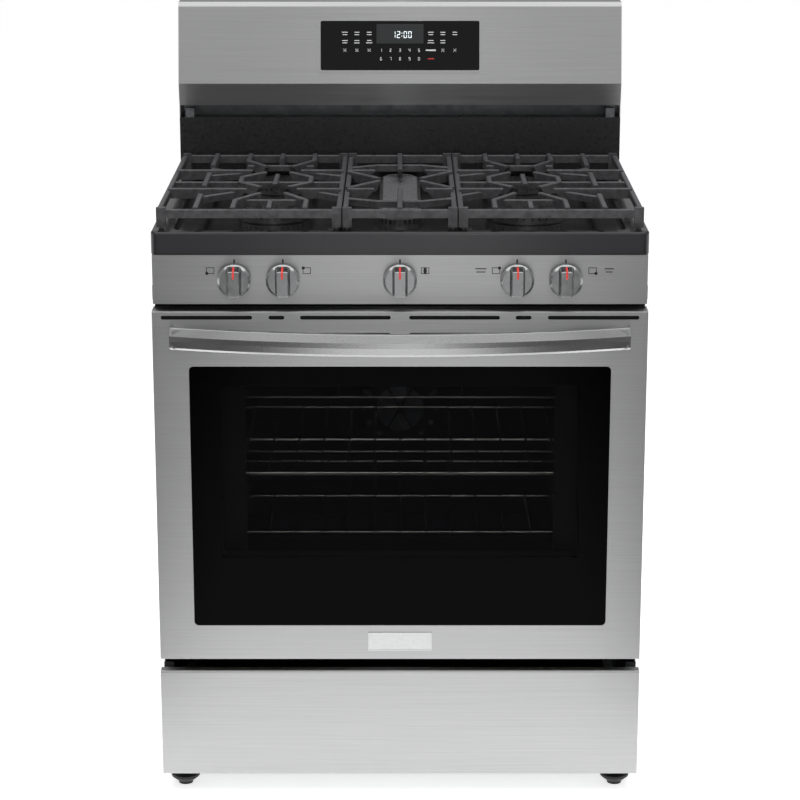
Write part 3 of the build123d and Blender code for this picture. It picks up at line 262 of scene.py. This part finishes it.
# %% [markdown]
# ## Paint and zinc
#
# Side panels are charcoal paint baked over a fine texture that hides scratches. The drawer's slides
# and inner frames are matt black. The back, the base and the rails are galvanised: zinc freezes on
# the steel in crystals, called spangle, and each crystal has its own tone and polish.

# %% Paint and zinc
side_paint = new_material("charcoal_textured_paint", "#2e2f31", Roughness=0.42, IOR=1.5)
grained(side_paint, (1.6, 1.6, 1.6), ("#28292b", "#34353a"), None, 0.06)

black_paint = new_material("matt_black_heatproof_paint", "#0c0c0d", Roughness=0.62, IOR=1.5)
grained(black_paint, (2.5, 2.5, 2.5), ("#0a0a0b", "#0f0f10"), (0.55, 0.7), 0.05, 0.4)

galvanised = new_material("galvanised_sheet", "#9ea2a5", Metallic=1.0, Roughness=0.42)
spangle_place = add_node(galvanised, "ShaderNodeTexCoord")
spangle = add_node(galvanised, "ShaderNodeTexVoronoi", {"Scale": per_metre(11)},
                   {"Vector": spangle_place.outputs["Object"]})
crystal = add_node(galvanised, "ShaderNodeSeparateColor", links={"Color": spangle.outputs["Color"]})
crystal_tone = add_node(galvanised, "ShaderNodeValToRGB", links={"Fac": crystal.outputs["Red"]})
for stop, colour in zip(crystal_tone.color_ramp.elements, ("#94989b", "#a6aaac")):
    stop.color = linear(colour)
feed(galvanised, "Base Color", crystal_tone.outputs["Color"])
crystal_polish = add_node(galvanised, "ShaderNodeMapRange", {"To Min": 0.36, "To Max": 0.5},
                          {"Value": crystal.outputs["Green"]})
feed(galvanised, "Roughness", crystal_polish.outputs["Result"])
crystal_relief = add_node(galvanised, "ShaderNodeBump", {"Strength": 0.3, "Distance": 0.02 * MM},
                          {"Height": spangle.outputs["Distance"]})
feed(galvanised, "Normal", crystal_relief.outputs["Normal"])
print("coatings:", side_paint.name, black_paint.name, galvanised.name)

# %% [markdown]
# ## Plain metals
#
# The racks are drawn wire with bright nickel plating. Burner rings are die-cast aluminium that the
# flame has darkened. Knobs are die-cast too, under a satin plating that is smooth to the thumb, so
# they get almost no relief. Each is one grained metal with its own tone, polish and grain.

# %% Plain metals


def plain_metal(name, dark, light, roughness, grain_mm, depth_mm):
    """A metal whose tone and polish drift a little with its grain."""
    material = new_material(name, light, Metallic=1.0)
    grained(material, (grain_mm, grain_mm, grain_mm), (dark, light), (roughness - 0.03, roughness + 0.05),
            depth_mm, 0.5, 2.0)
    return material


rack_wire = plain_metal("nickel_plated_wire", "#a7a6a3", "#c9c8c4", 0.22, 14, 0.01)
cast_aluminium = plain_metal("die_cast_aluminium", "#9c9c9b", "#c4c4c2", 0.4, 1.2, 0.04)
burnt_aluminium = plain_metal("heat_darkened_aluminium", "#7d7d7e", "#9c9c9d", 0.34, 1.2, 0.02)
pressed_steel = plain_metal("pressed_steel", "#86888a", "#a5a7a9", 0.36, 6, 0.01)
knob_metal = plain_metal("satin_plated_knob", "#b4b5b6", "#bcbdbe", 0.2, 12, 0.001)
badge_metal = plain_metal("satin_badge_plate", "#dcdddd", "#e6e7e7", 0.42, 6, 0.001)
valve_brass = plain_metal("turned_brass", "#a8863f", "#c7a55c", 0.3, 2, 0.01)
print("metals:", [m.name for m in (rack_wire, cast_aluminium, pressed_steel, knob_metal, valve_brass)])

# %% [markdown]
# ## Glass
#
# The door's outer pane is heatproof float glass, printed black on the inside all round its middle.
# The print is what makes it look solid. The middle is left clear over a grey tint. The control
# glass is printed black all over. Real glass of this kind is coated to dim its reflections, so the
# specular level is low. Float glass is flat to the eye, with a ripple some 100 mm long.

# %% Printed and clear glass
door_glass = new_material("printed_door_glass", "#020203", Roughness=0.05, IOR=1.5, Specular_IOR_Level=0.05)
inner_glass = new_material("clear_oven_glass", "#060707", Roughness=0.03, IOR=1.5, Alpha=0.1,
                           Specular_IOR_Level=0.1)
control_glass = new_material("black_control_glass", "#050506", Roughness=0.07, IOR=1.5,
                             Specular_IOR_Level=0.25)
for glass, ripple in ((door_glass, 160), (inner_glass, 160), (control_glass, 90)):
    grained(glass, (ripple, ripple, ripple), depth_mm=0.04, strength=0.3, detail=1.0)
lamp_glass = new_material("lamp_glass", "#e9e4d6", Roughness=0.12, IOR=1.5, Alpha=0.75)
grained(lamp_glass, (3, 3, 3), depth_mm=0.1, strength=0.4, detail=1.0)
print("glass:", door_glass.name, inner_glass.name, control_glass.name, lamp_glass.name)

# %% [markdown]
# The door glass is clear only inside the printed border. The border is a rectangle with the size of
# the frame's own opening, so the mask is made from the pane's X and Z in millimetres: two smooth
# steps that are multiplied. The clear part still holds back a little light, as tinted glass does.

# %% The clear middle of the door glass
WINDOW_HALF_WIDTH = 0.2775
WINDOW_LOW, WINDOW_HIGH = 0.395, 0.672
PRINT_FADE = 1.5 * MM


def clear_window(material, open_alpha):
    """Lowers the alpha inside the window's rectangle."""
    place = add_node(material, "ShaderNodeTexCoord")
    axes = add_node(material, "ShaderNodeSeparateXYZ", links={"Vector": place.outputs["Object"]})
    across = add_node(material, "ShaderNodeMath", links={0: axes.outputs["X"]}, operation="ABSOLUTE")
    middle = (WINDOW_LOW + WINDOW_HIGH) / 2
    height = add_node(material, "ShaderNodeMath", {1: middle}, {0: axes.outputs["Z"]}, operation="SUBTRACT")
    up = add_node(material, "ShaderNodeMath", links={0: height.outputs[0]}, operation="ABSOLUTE")
    steps = []
    for source, half in ((across, WINDOW_HALF_WIDTH), (up, (WINDOW_HIGH - WINDOW_LOW) / 2)):
        limits = {"From Min": half - PRINT_FADE, "From Max": half, "To Min": 1.0, "To Max": 0.0}
        steps.append(add_node(material, "ShaderNodeMapRange", limits, {"Value": source.outputs[0]}))
    inside = add_node(material, "ShaderNodeMath", links={0: steps[0].outputs[0], 1: steps[1].outputs[0]},
                      operation="MULTIPLY")
    limits = {"From Min": 0.0, "From Max": 1.0, "To Min": 1.0, "To Max": open_alpha}
    alpha = add_node(material, "ShaderNodeMapRange", limits, {"Value": inside.outputs[0]})
    feed(material, "Alpha", alpha.outputs["Result"])


clear_window(door_glass, 0.45)
print("window in mm:", round(WINDOW_HALF_WIDTH * 2000), "x", round((WINDOW_HIGH - WINDOW_LOW) * 1000))

# %% [markdown]
# ## Ceramic, rubber, plastic, braid and wool
#
# These pieces are small or hidden, but each has its own surface. Porcelain is glazed, rubber and
# moulded plastic are dull with a fine spark texture, the door seal is a knitted glass-fibre tube,
# mineral wool is loose fibre, and a circuit board is green lacquer over copper tracks.

# %% Small and hidden materials


def dull(name, dark, light, roughness, grain_mm, depth_mm):
    """A moulded or fired material with a fine grain."""
    material = new_material(name, light, Roughness=roughness, IOR=1.5)
    grained(material, (grain_mm, grain_mm, grain_mm), (dark, light), None, depth_mm, 0.6)
    return material


porcelain = dull("white_porcelain", "#d9d7cf", "#e9e7e0", 0.25, 5, 0.02)
foot_plastic = dull("moulded_black_nylon", "#0d0d0e", "#161617", 0.5, 1.5, 0.05)
grip_rubber = dull("black_rubber", "#0b0b0c", "#141415", 0.75, 2, 0.05)
mineral_wool = dull("mineral_wool", "#9c8f63", "#c9bd92", 0.95, 3, 1.2)

seal_braid = dull("glass_fibre_braid", "#2c2c2c", "#4a4947", 0.85, 1.5, 0.1)
braid_place = add_node(seal_braid, "ShaderNodeTexCoord")
braid = add_node(seal_braid, "ShaderNodeTexWave", {"Scale": per_metre(3) / math.tau, "Distortion": 1.5},
                 {"Vector": braid_place.outputs["Object"]}, bands_direction="DIAGONAL")
knit = add_node(seal_braid, "ShaderNodeBump", {"Strength": 0.9, "Distance": 0.6 * MM},
                {"Height": braid.outputs["Fac"]})
feed(seal_braid, "Normal", knit.outputs["Normal"])

circuit_board = dull("green_circuit_board", "#123d22", "#1c5a33", 0.35, 12, 0.01)
board_place = add_node(circuit_board, "ShaderNodeTexCoord")
tracks = add_node(circuit_board, "ShaderNodeTexBrick",
                  {"Scale": per_metre(16), "Mortar Size": 0.04, "Color1": linear("#16492a"),
                   "Color2": linear("#1b5631"), "Mortar": linear("#3f7f45")},
                  {"Vector": board_place.outputs["Object"]})
feed(circuit_board, "Base Color", tracks.outputs["Color"])
print("small materials:", porcelain.name, foot_plastic.name, seal_braid.name, circuit_board.name)

# %% [markdown]
# ## Every piece gets its finish
#
# The record names a finish for each piece. One table turns those names into materials, and a second
# names the few pieces whose surface differs from the others in their family.

# %% Give the materials to the pieces
finishes = {
    "stainless": stainless_panel, "black_enamel": cooktop_enamel, "oven_enamel": oven_enamel,
    "side_paint": side_paint, "black_paint": black_paint, "zinc_steel": galvanised,
    "bright_wire": rack_wire, "hinge_steel": pressed_steel, "cast_iron": cast_iron,
    "burner_aluminium": cast_aluminium, "knob_metal": knob_metal, "black_glass": door_glass,
    "clear_glass": inner_glass, "brass": valve_brass, "ceramic": porcelain, "rubber": grip_rubber,
    "black_plastic": foot_plastic, "gasket_braid": seal_braid, "wool": mineral_wool,
    "circuit": circuit_board,
}
special = {"door_handle": stainless_handle, "burner_caps": cap_enamel, "control_glass": control_glass,
           "splash_panel": splash_enamel, "oven_lamp": lamp_glass, "door_badge": badge_metal,
           "vent_end_blocks": pressed_steel, "burner_heads": burnt_aluminium}
for part in frame["record"]["subparts"]:
    piece = frame["nodes"][part["node"]]
    piece.data.materials.clear()
    piece.data.materials.append(special.get(part["node"], finishes[part["material_slot"]]))

# %% [markdown]
# ## Printed marks
#
# Ink on steel or glass is a thin flat film. Each mark is a plate 0.15 mm thick that lies on the
# surface, because a real shape stays crisp in any view. A surface is described by a point on it
# and the directions across and up, and marks are drawn in its plane.

# %% Drawing on a surface
INK_THICKNESS = 0.15 * MM


class Sheet:
    """A flat face to draw on. Marks are outlines in millimetres across and up from its middle."""

    def __init__(self, middle, up):
        self.middle, self.across, self.up = Vector(middle), Vector((1, 0, 0)), Vector(up).normalized()
        self.out = self.across.cross(self.up).normalized()
        self.mesh = bmesh.new()

    def place(self, across_mm, up_mm, out=0.0):
        return self.middle + self.across * across_mm * MM + self.up * up_mm * MM + self.out * out

    def mark(self, outline):
        """One flat plate with this outline."""
        lower = [self.mesh.verts.new(self.place(x, z)) for x, z in outline]
        upper = [self.mesh.verts.new(self.place(x, z, INK_THICKNESS)) for x, z in outline]
        self.mesh.faces.new(upper)
        self.mesh.faces.new(list(reversed(lower)))
        for here in range(len(outline)):
            after = (here + 1) % len(outline)
            self.mesh.faces.new((lower[here], lower[after], upper[after], upper[here]))

    def bar(self, x, z, width, height):
        """A rectangle with its middle at x, z."""
        self.mark([(x - width / 2, z - height / 2), (x + width / 2, z - height / 2),
                   (x + width / 2, z + height / 2), (x - width / 2, z + height / 2)])

    def dot(self, x, z, radius, stretch=1.0, sides=24):
        """A filled circle, or an upright oval when stretched."""
        turns = [math.tau * step / sides for step in range(sides)]
        self.mark([(x + radius * math.cos(a), z + radius * stretch * math.sin(a)) for a in turns])

    def frame(self, x, z, width, height, line):
        """The outline of a rectangle, drawn as four bars that meet at the corners."""
        self.bar(x, z + height / 2 - line / 2, width, line)
        self.bar(x, z - height / 2 + line / 2, width, line)
        for side in (-1, 1):
            self.bar(x + side * (width - line) / 2, z, line, height - 2 * line)

    def finish(self, name, material, body):
        """Turns the marks into a piece that rides on a body."""
        bmesh.ops.recalc_face_normals(self.mesh, faces=self.mesh.faces)
        mesh = bpy.data.meshes.new(name)
        self.mesh.to_mesh(mesh)
        self.mesh.free()
        mesh.materials.append(material)
        piece = bpy.data.objects.new(name, mesh)
        bpy.context.scene.collection.objects.link(piece)
        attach(piece, body)
        print(name, len(mesh.polygons), "faces")
        return piece


print("ink is", INK_THICKNESS / MM, "mm thick")

# %% [markdown]
# Printing inks are dull and opaque. The panel's marks are black on steel, and the glass has pale
# grey words, which are dashes here. The clock's lit digits glow through the glass, so they have
# emission. The white and red print on the glass glows faintly too, which is painted light.

# %% Inks and lights


def ink(name, dark, light, glow=0.0):
    """A printed or lit mark. Glow is light it sends out; on plain print it is painted light."""
    material = new_material(name, light, Roughness=0.5, IOR=1.5, Emission_Strength=glow)
    material.node_tree.nodes["Principled BSDF"].inputs["Emission Color"].default_value = linear(light)
    grained(material, (0.8, 0.8, 0.8), (dark, light), None, 0.01, 0.3, 1.0)
    return material


black_ink = ink("black_screen_ink", "#161616", "#232323")
red_enamel = ink("red_pointer_enamel", "#c9231c", "#db3028", 0.0)
# The white and red print glows faintly: painted light, since printed ink gives none.
white_ink_painted_glow = ink("white_screen_ink_painted_glow", "#b4b6b8", "#cdcfd0", 0.12)
red_ink_painted_glow = ink("red_screen_ink_painted_glow", "#a02420", "#b82c28", 0.08)
display_light = ink("lit_display_segments", "#dcecf2", "#eef8fb", 0.45)
display_window = ink("smoked_display_window", "#1d1f20", "#242627")
print("inks:", black_ink.name, white_ink_painted_glow.name, red_enamel.name, display_light.name)

# %% [markdown]
# ## Marks beside the knobs
#
# Each knob has a short tick above it and a small square with a dot, which says which burner it
# turns. The centre one is an upright oval, as its burner is. Left of the fourth knob and right of
# the fifth, two short words stand as dashes.

# %% Marks on the control panel
panel_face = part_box("control_panel")[0].y
knob_low, knob_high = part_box("knob_1")
KNOB_RADIUS = (knob_high.x - knob_low.x) / 2 / MM
KNOB_LEVEL = (knob_low.z + knob_high.z) / 2
KNOB_X = [(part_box(f"knob_{n}")[0].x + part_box(f"knob_{n}")[1].x) / 2 / MM for n in range(1, 6)]
print("knobs at", [round(x) for x in KNOB_X], "mm, radius", round(KNOB_RADIUS, 1))

SYMBOL_LEVEL = 14.0
SYMBOL_SIZE = (12.5, 10)
SYMBOL_LINE = 1.0
DOT_OFFSET = (5.2, 4.2)
DOT_RADIUS = 2.4
BURNER_SYMBOLS = [(-288.6, -1, -1), (-141.8, -1, 1), (146.0, 1, 1), (292.8, 1, -1)]
CENTRE_SYMBOL_X = 38.2
TICK_SIZE = (2.4, 6.0)
TICK_GAP = 0.2
DASHES = [(123, 17, 17), (123, 12, 14), (318, 17, 14), (318, 12, 10)]  # x, level and length
DASH_LINE = 1.5

panel_marks = Sheet((0, panel_face, KNOB_LEVEL), (0, 0, 1))
for x, dot_side, dot_up in BURNER_SYMBOLS:
    panel_marks.frame(x, SYMBOL_LEVEL, *SYMBOL_SIZE, SYMBOL_LINE)
    panel_marks.dot(x + dot_side * DOT_OFFSET[0], SYMBOL_LEVEL + dot_up * DOT_OFFSET[1], DOT_RADIUS)
panel_marks.frame(CENTRE_SYMBOL_X, SYMBOL_LEVEL, *SYMBOL_SIZE, SYMBOL_LINE)
panel_marks.dot(CENTRE_SYMBOL_X, SYMBOL_LEVEL, 2.6, 2.1)
for x in KNOB_X:
    panel_marks.bar(x, KNOB_RADIUS + TICK_GAP + TICK_SIZE[1] / 2, *TICK_SIZE)
for x, level, length in DASHES:
    panel_marks.bar(x, level, length, DASH_LINE)
panel_marks.finish("panel_marks", black_ink, "case")

# %% [markdown]
# ## Red pointers on the knobs
#
# The pointer is a filled groove that runs from the knob's rim over its top edge and part of the way
# down its face. Rays sent at the knob find its surface, so the strip follows every curve of it.

# %% Pointers that follow the knobs
POINTER_WIDTH = 3.0 * MM
POINTER_PROUD = 0.25 * MM
POINTER_START = 2.5 * MM  # below the top of the knob's rim
POINTER_LENGTH = 15.5 * MM
POINTER_ROWS = 25
RAY_START = 0.05  # in front of the knob
SKIRT = 0.002  # hits this close to the panel are past the knob's edge


def pointer(knob):
    """A raised red strip from the top of a knob's rim down its face."""
    low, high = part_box(knob)
    middle_x = (low.x + high.x) / 2
    surface = BVHTree.FromObject(frame["nodes"][knob], bpy.context.evaluated_depsgraph_get())
    rows = []
    for step in range(POINTER_ROWS):
        z = high.z - POINTER_START - step / (POINTER_ROWS - 1) * POINTER_LENGTH
        row = []
        for side in (-1, 1):
            start = Vector((middle_x + side * POINTER_WIDTH / 2, low.y - RAY_START, z))
            hit = surface.ray_cast(start, Vector((0, 1, 0)))[0]
            if hit is None or hit.y > high.y - SKIRT:
                break
            row.append(hit)
        if len(row) == 2:
            rows.append(row)
    sheet = bmesh.new()
    proud = Vector((0, -POINTER_PROUD, 0))
    top = [[sheet.verts.new(point + proud) for point in row] for row in rows]
    under = [[sheet.verts.new(point - proud) for point in row] for row in rows]
    for a, b, c, d in zip(top, top[1:], under, under[1:]):
        sheet.faces.new((a[0], a[1], b[1], b[0]))
        sheet.faces.new((c[1], c[0], d[0], d[1]))
        sheet.faces.new((a[0], b[0], d[0], c[0]))
        sheet.faces.new((a[1], c[1], d[1], b[1]))
    sheet.faces.new((top[0][1], top[0][0], under[0][0], under[0][1]))
    sheet.faces.new((top[-1][0], top[-1][1], under[-1][1], under[-1][0]))
    bmesh.ops.recalc_face_normals(sheet, faces=sheet.faces)
    mesh = bpy.data.meshes.new(knob + "_pointer")
    sheet.to_mesh(mesh)
    sheet.free()
    mesh.materials.append(red_enamel)
    piece = bpy.data.objects.new(knob + "_pointer", mesh)
    bpy.context.scene.collection.objects.link(piece)
    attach(piece, knob)
    return len(rows)


for n in range(1, 6):
    print(f"knob_{n} pointer rows:", pointer(f"knob_{n}"))

# %% [markdown]
# ## The control display
#
# The black glass leans back a few degrees with the backguard. Its largest face gives the plane, and
# the marks are laid out on it: a clock with seven-segment digits, number keys, and dashes for words.

# %% The plane of the control glass
glass_mesh = frame["nodes"]["control_glass"].data
front = max((face for face in glass_mesh.polygons if face.normal.y < -0.5), key=lambda face: face.area)
glass_out = front.normal.copy()
glass_up = Vector((0, -glass_out.z, glass_out.y)) * -1
glass_points = [glass_mesh.vertices[corner].co for corner in front.vertices]
glass_low, glass_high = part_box("control_glass")
glass_middle_z = (glass_low.z + glass_high.z) / 2
on_plane = glass_points[0].copy()
lean = (glass_middle_z - on_plane.z) / glass_up.z
glass_middle = Vector((0, (on_plane + glass_up * lean).y, glass_middle_z))
print("glass leans back", round(math.degrees(math.asin(glass_out.z)), 1), "degrees")

# %% Seven-segment digits
SEGMENTS = {"0": "abcdef", "1": "bc", "2": "abged", "3": "abgcd", "4": "fgbc", "5": "afgcd",
            "6": "afgedc", "7": "abc", "8": "abcdefg", "9": "abcdfg"}


def segment_digit(sheet, digit, x, z, width, height, line):
    """A digit made of the segments a to g, with its middle at x, z."""
    rise = (height - line) / 2
    side = (width - line) / 2
    flat = (width - line, line)
    upright = (line, height / 2 - line)
    bars = {"a": (x, z + rise, *flat), "d": (x, z - rise, *flat), "g": (x, z, *flat),
            "b": (x + side, z + height / 4, *upright), "c": (x + side, z - height / 4, *upright),
            "e": (x - side, z - height / 4, *upright), "f": (x - side, z + height / 4, *upright)}
    for segment in SEGMENTS[digit]:
        sheet.bar(*bars[segment])


print("segments for", len(SEGMENTS), "digits")

# %% [markdown]
# The display is a smoked window behind the glass, drawn as a thin plate on it. The clock's digits
# lie on that plate. Two rows of keys hold words of two lines each, then a row of small symbols and
# two rows of digits. Places are in millimetres from the middle of the glass.

# %% Clock and keys
CLOCK_LEVEL = 19.0
WORD_LEVELS = (21.0, 7.0)
KEY_LEVELS = (-7.5, -22.0)
WORD_PLACES = (-94.0, -73.5, -52.5, 52.5, 73.0, 93.5)
SYMBOL_PLACES = (-94.0, -73.5, -52.5, 73.0, 93.5)
DIGIT_GAP = 16.2

window = Sheet(glass_middle, glass_up)
window.bar(0, 20.5, 80, 33)
window.finish("display_window", display_window, "case")

clock = Sheet(glass_middle + glass_out * INK_THICKNESS, glass_up)
for digit, x in zip("1200", (-8.5, -0.5, 11.0, 19.0)):
    segment_digit(clock, digit, x - 2.0, CLOCK_LEVEL, 5.6, 11.5, 1.15)
for up in (2.6, -2.6):
    clock.dot(3.2, CLOCK_LEVEL + up, 0.8, 1.0, 12)
clock.finish("clock_digits", display_light, "case")

keys = Sheet(glass_middle, glass_up)
for place, digit in enumerate("1234567890"):
    segment_digit(keys, digit, (place % 5 - 2) * DIGIT_GAP, KEY_LEVELS[place // 5], 3.2, 5.6, 0.85)
for row, level in enumerate(WORD_LEVELS):
    for column, x in enumerate(WORD_PLACES):
        if (row, column) != (1, 5):
            keys.bar(x, level + 2.0, 9.5 - column % 3, 1.3)
            keys.bar(x, level - 2.0, 8.0 + row * column % 4, 1.3)
keys.bar(WORD_PLACES[3], KEY_LEVELS[0], 17, 2.4)
for x in SYMBOL_PLACES:
    for side in (0, 1, 2, 3):
        turn = math.pi / 4 + side * math.pi / 2
        keys.dot(x + 2.6 * math.cos(turn), KEY_LEVELS[0] + 2.6 * math.sin(turn), 0.75, 1.0, 8)
    keys.dot(x, KEY_LEVELS[0], 1.0, 1.0, 12)
keys.finish("key_marks", white_ink_painted_glow, "case")

off_key = Sheet(glass_middle, glass_up)
off_key.bar(WORD_PLACES[3], KEY_LEVELS[1], 11, 1.9)
off_key.finish("off_key_mark", red_ink_painted_glow, "case")

# %% [markdown]
# ## Floor
#
# The stage is a plain pale floor that glows a little, like a light table, so that shadows stay soft.

# %% Floor
floor_mesh = bpy.data.meshes.new("floor")
REACH = 30.0
floor_mesh.from_pydata([(-REACH, -REACH, 0), (REACH, -REACH, 0), (REACH, REACH, 0), (-REACH, REACH, 0)],
                       [], [(0, 1, 2, 3)])
floor = bpy.data.objects.new("floor", floor_mesh)
bpy.context.scene.collection.objects.link(floor)
floor_paint = new_material("pale_floor", "#f4f4f4", Roughness=0.9, Emission_Strength=0.66)
floor_paint.node_tree.nodes["Principled BSDF"].inputs["Emission Color"].default_value = linear("#ffffff")
grained(floor_paint, (40, 40, 40), ("#f2f2f2", "#f6f6f6"), None, 0.02, 0.2)
floor_mesh.materials.append(floor_paint)

# %% [markdown]
# Seen from low down, the floor ends at a horizon. A ring of white cloth stands behind that line, so
# every view ends in the same white. Only the camera sees it: it adds no light and no reflection.

# %% White backdrop
BACKDROP_RADIUS, BACKDROP_HEIGHT, BACKDROP_SIDES = 28.0, 30.0, 48
ring = bmesh.new()
low_ring, high_ring = [], []
for step in range(BACKDROP_SIDES):
    turn = math.tau * step / BACKDROP_SIDES
    x, y = BACKDROP_RADIUS * math.cos(turn), BACKDROP_RADIUS * math.sin(turn)
    low_ring.append(ring.verts.new((x, y, 0)))
    high_ring.append(ring.verts.new((x, y, BACKDROP_HEIGHT)))
for step in range(BACKDROP_SIDES):
    after = (step + 1) % BACKDROP_SIDES
    ring.faces.new((low_ring[step], low_ring[after], high_ring[after], high_ring[step]))
backdrop_mesh = bpy.data.meshes.new("backdrop")
ring.to_mesh(backdrop_mesh)
ring.free()
cloth = new_material("white_backdrop_cloth", "#000000", Roughness=1.0, Emission_Strength=1.0)
cloth.node_tree.nodes["Principled BSDF"].inputs["Emission Color"].default_value = linear("#ffffff")
grained(cloth, (60, 60, 60), depth_mm=0.02, strength=0.1)
backdrop_mesh.materials.append(cloth)
backdrop = bpy.data.objects.new("backdrop", backdrop_mesh)
bpy.context.scene.collection.objects.link(backdrop)
backdrop.visible_diffuse = backdrop.visible_glossy = backdrop.visible_shadow = False
backdrop.visible_transmission = False
print("backdrop:", len(backdrop_mesh.polygons), "panels")

# %% [markdown]
# The camera has a long lens, as a catalogue photographer's has, so the range keeps its proportions.
# It stands at a person's eye height, four metres in front, and looks down a little.

# %% Camera
camera = bpy.data.objects.new("camera", bpy.data.cameras.new("camera"))
bpy.context.scene.collection.objects.link(camera)
bpy.context.scene.camera = camera
camera.data.sensor_width = 36
camera.data.lens = 112.95
camera.location = (0.0, -4.0125, 1.65)
CAMERA_TILT = math.radians(15.05)
camera.rotation_euler = (math.pi / 2 - CAMERA_TILT, 0, 0)
print("camera lens:", camera.data.lens, "mm")

# %% [markdown]
# ## Light
#
# A wide softbox hangs over the range and another fills from the front. Neither is seen in gloss, so
# they light enamel and iron without white patches on the steel. A thin strip gives the steel its one
# upright band of light. A small lamp inside the oven shows the racks through the glass.

# %% Soft studio light
world = bpy.data.worlds.new("studio")
bpy.context.scene.world = world
world.use_nodes = True
world.node_tree.nodes["Background"].inputs["Color"].default_value = linear("#ffffff")
world.node_tree.nodes["Background"].inputs["Strength"].default_value = 0.36
bpy.context.scene.view_settings.view_transform = "Standard"


def softbox(name, middle, target, width, height, power, seen_in_gloss=True):
    """A rectangular area light that faces its target."""
    lamp = bpy.data.lights.new(name, "AREA")
    lamp.shape = "RECTANGLE"
    lamp.size, lamp.size_y, lamp.energy = width, height, power
    light = bpy.data.objects.new(name, lamp)
    light.location = middle
    light.rotation_euler = (Vector(target) - Vector(middle)).to_track_quat("-Z", "Y").to_euler()
    light.visible_camera = False
    light.visible_glossy = seen_in_gloss
    bpy.context.scene.collection.objects.link(light)
    return light


softbox("overhead", (0, -0.4, 3.4), (0, 0, 0.9), 4.0, 3.0, 95, seen_in_gloss=False)
softbox("front_fill", (0.3, -5.2, 1.9), (0.1, 0, 0.6), 2.4, 1.8, 40, seen_in_gloss=False)
softbox("band", (0.2, -5.2, 1.2), (0.1, 0, 0.6), 0.35, 2.4, 4.0)
softbox("oven_glow", (0, -0.24, 0.735), (0, -0.14, 0.45), 0.5, 0.05, 0.6)

# %% [markdown]
# Polished metal shows whatever stands round it, so a product studio builds the reflections out of
# cards. Here a pale card lies on the floor in front, brightest close to the range and darker to its
# sides and far away. A grey wall stands behind the camera and a pale ceiling hangs over it. Only
# gloss sees the cards, and they light nothing else.

# %% Reflection cards


def card(name, corners, glow, along=None, across=None):
    """A glowing card that only gloss sees. along and across give (from, to, end tone) fades."""
    material = new_material(name + "_cloth", "#000000", Roughness=1.0, Emission_Strength=glow)
    place = add_node(material, "ShaderNodeTexCoord")
    axes = add_node(material, "ShaderNodeSeparateXYZ", links={"Vector": place.outputs["Object"]})
    side = add_node(material, "ShaderNodeMath", links={0: axes.outputs["X"]}, operation="ABSOLUTE")
    tones = []
    for source, fade in ((axes.outputs["Y"], along), (side.outputs[0], across)):
        start, stop, tone = fade or (0, 1, 1)
        limits = {"From Min": start, "From Max": stop, "To Min": 1.0, "To Max": tone}
        tones.append(add_node(material, "ShaderNodeMapRange", limits, {"Value": source}))
    both = add_node(material, "ShaderNodeMath", links={0: tones[0].outputs[0], 1: tones[1].outputs[0]},
                    operation="MULTIPLY")
    feed(material, "Emission Color", both.outputs[0])
    mesh = bpy.data.meshes.new(name)
    mesh.from_pydata(corners, [], [(0, 1, 2, 3)])
    mesh.materials.append(material)
    board = bpy.data.objects.new(name, mesh)
    bpy.context.scene.collection.objects.link(board)
    board.visible_camera = board.visible_diffuse = board.visible_shadow = False
    return board


card("floor_card", [(-6, -9, 0.02), (6, -9, 0.02), (6, -0.6, 0.02), (-6, -0.6, 0.02)], 1.2,
     (-0.8, -3.6, 0.42), (0.34, 0.58, 0.0))
card("low_wall_card", [(-6, -9, 0), (6, -9, 0), (6, -9, 2.4), (-6, -9, 2.4)], 0.5, None, (0.4, 1.2, 0.05))
card("high_wall_card", [(-6, -9, 2.4), (6, -9, 2.4), (6, -9, 8), (-6, -9, 8)], 0.6)
card("ceiling_card", [(-3, -2.4, 3.5), (3, -2.4, 3.5), (3, 2, 3.5), (-3, 2, 3.5)], 1.3)
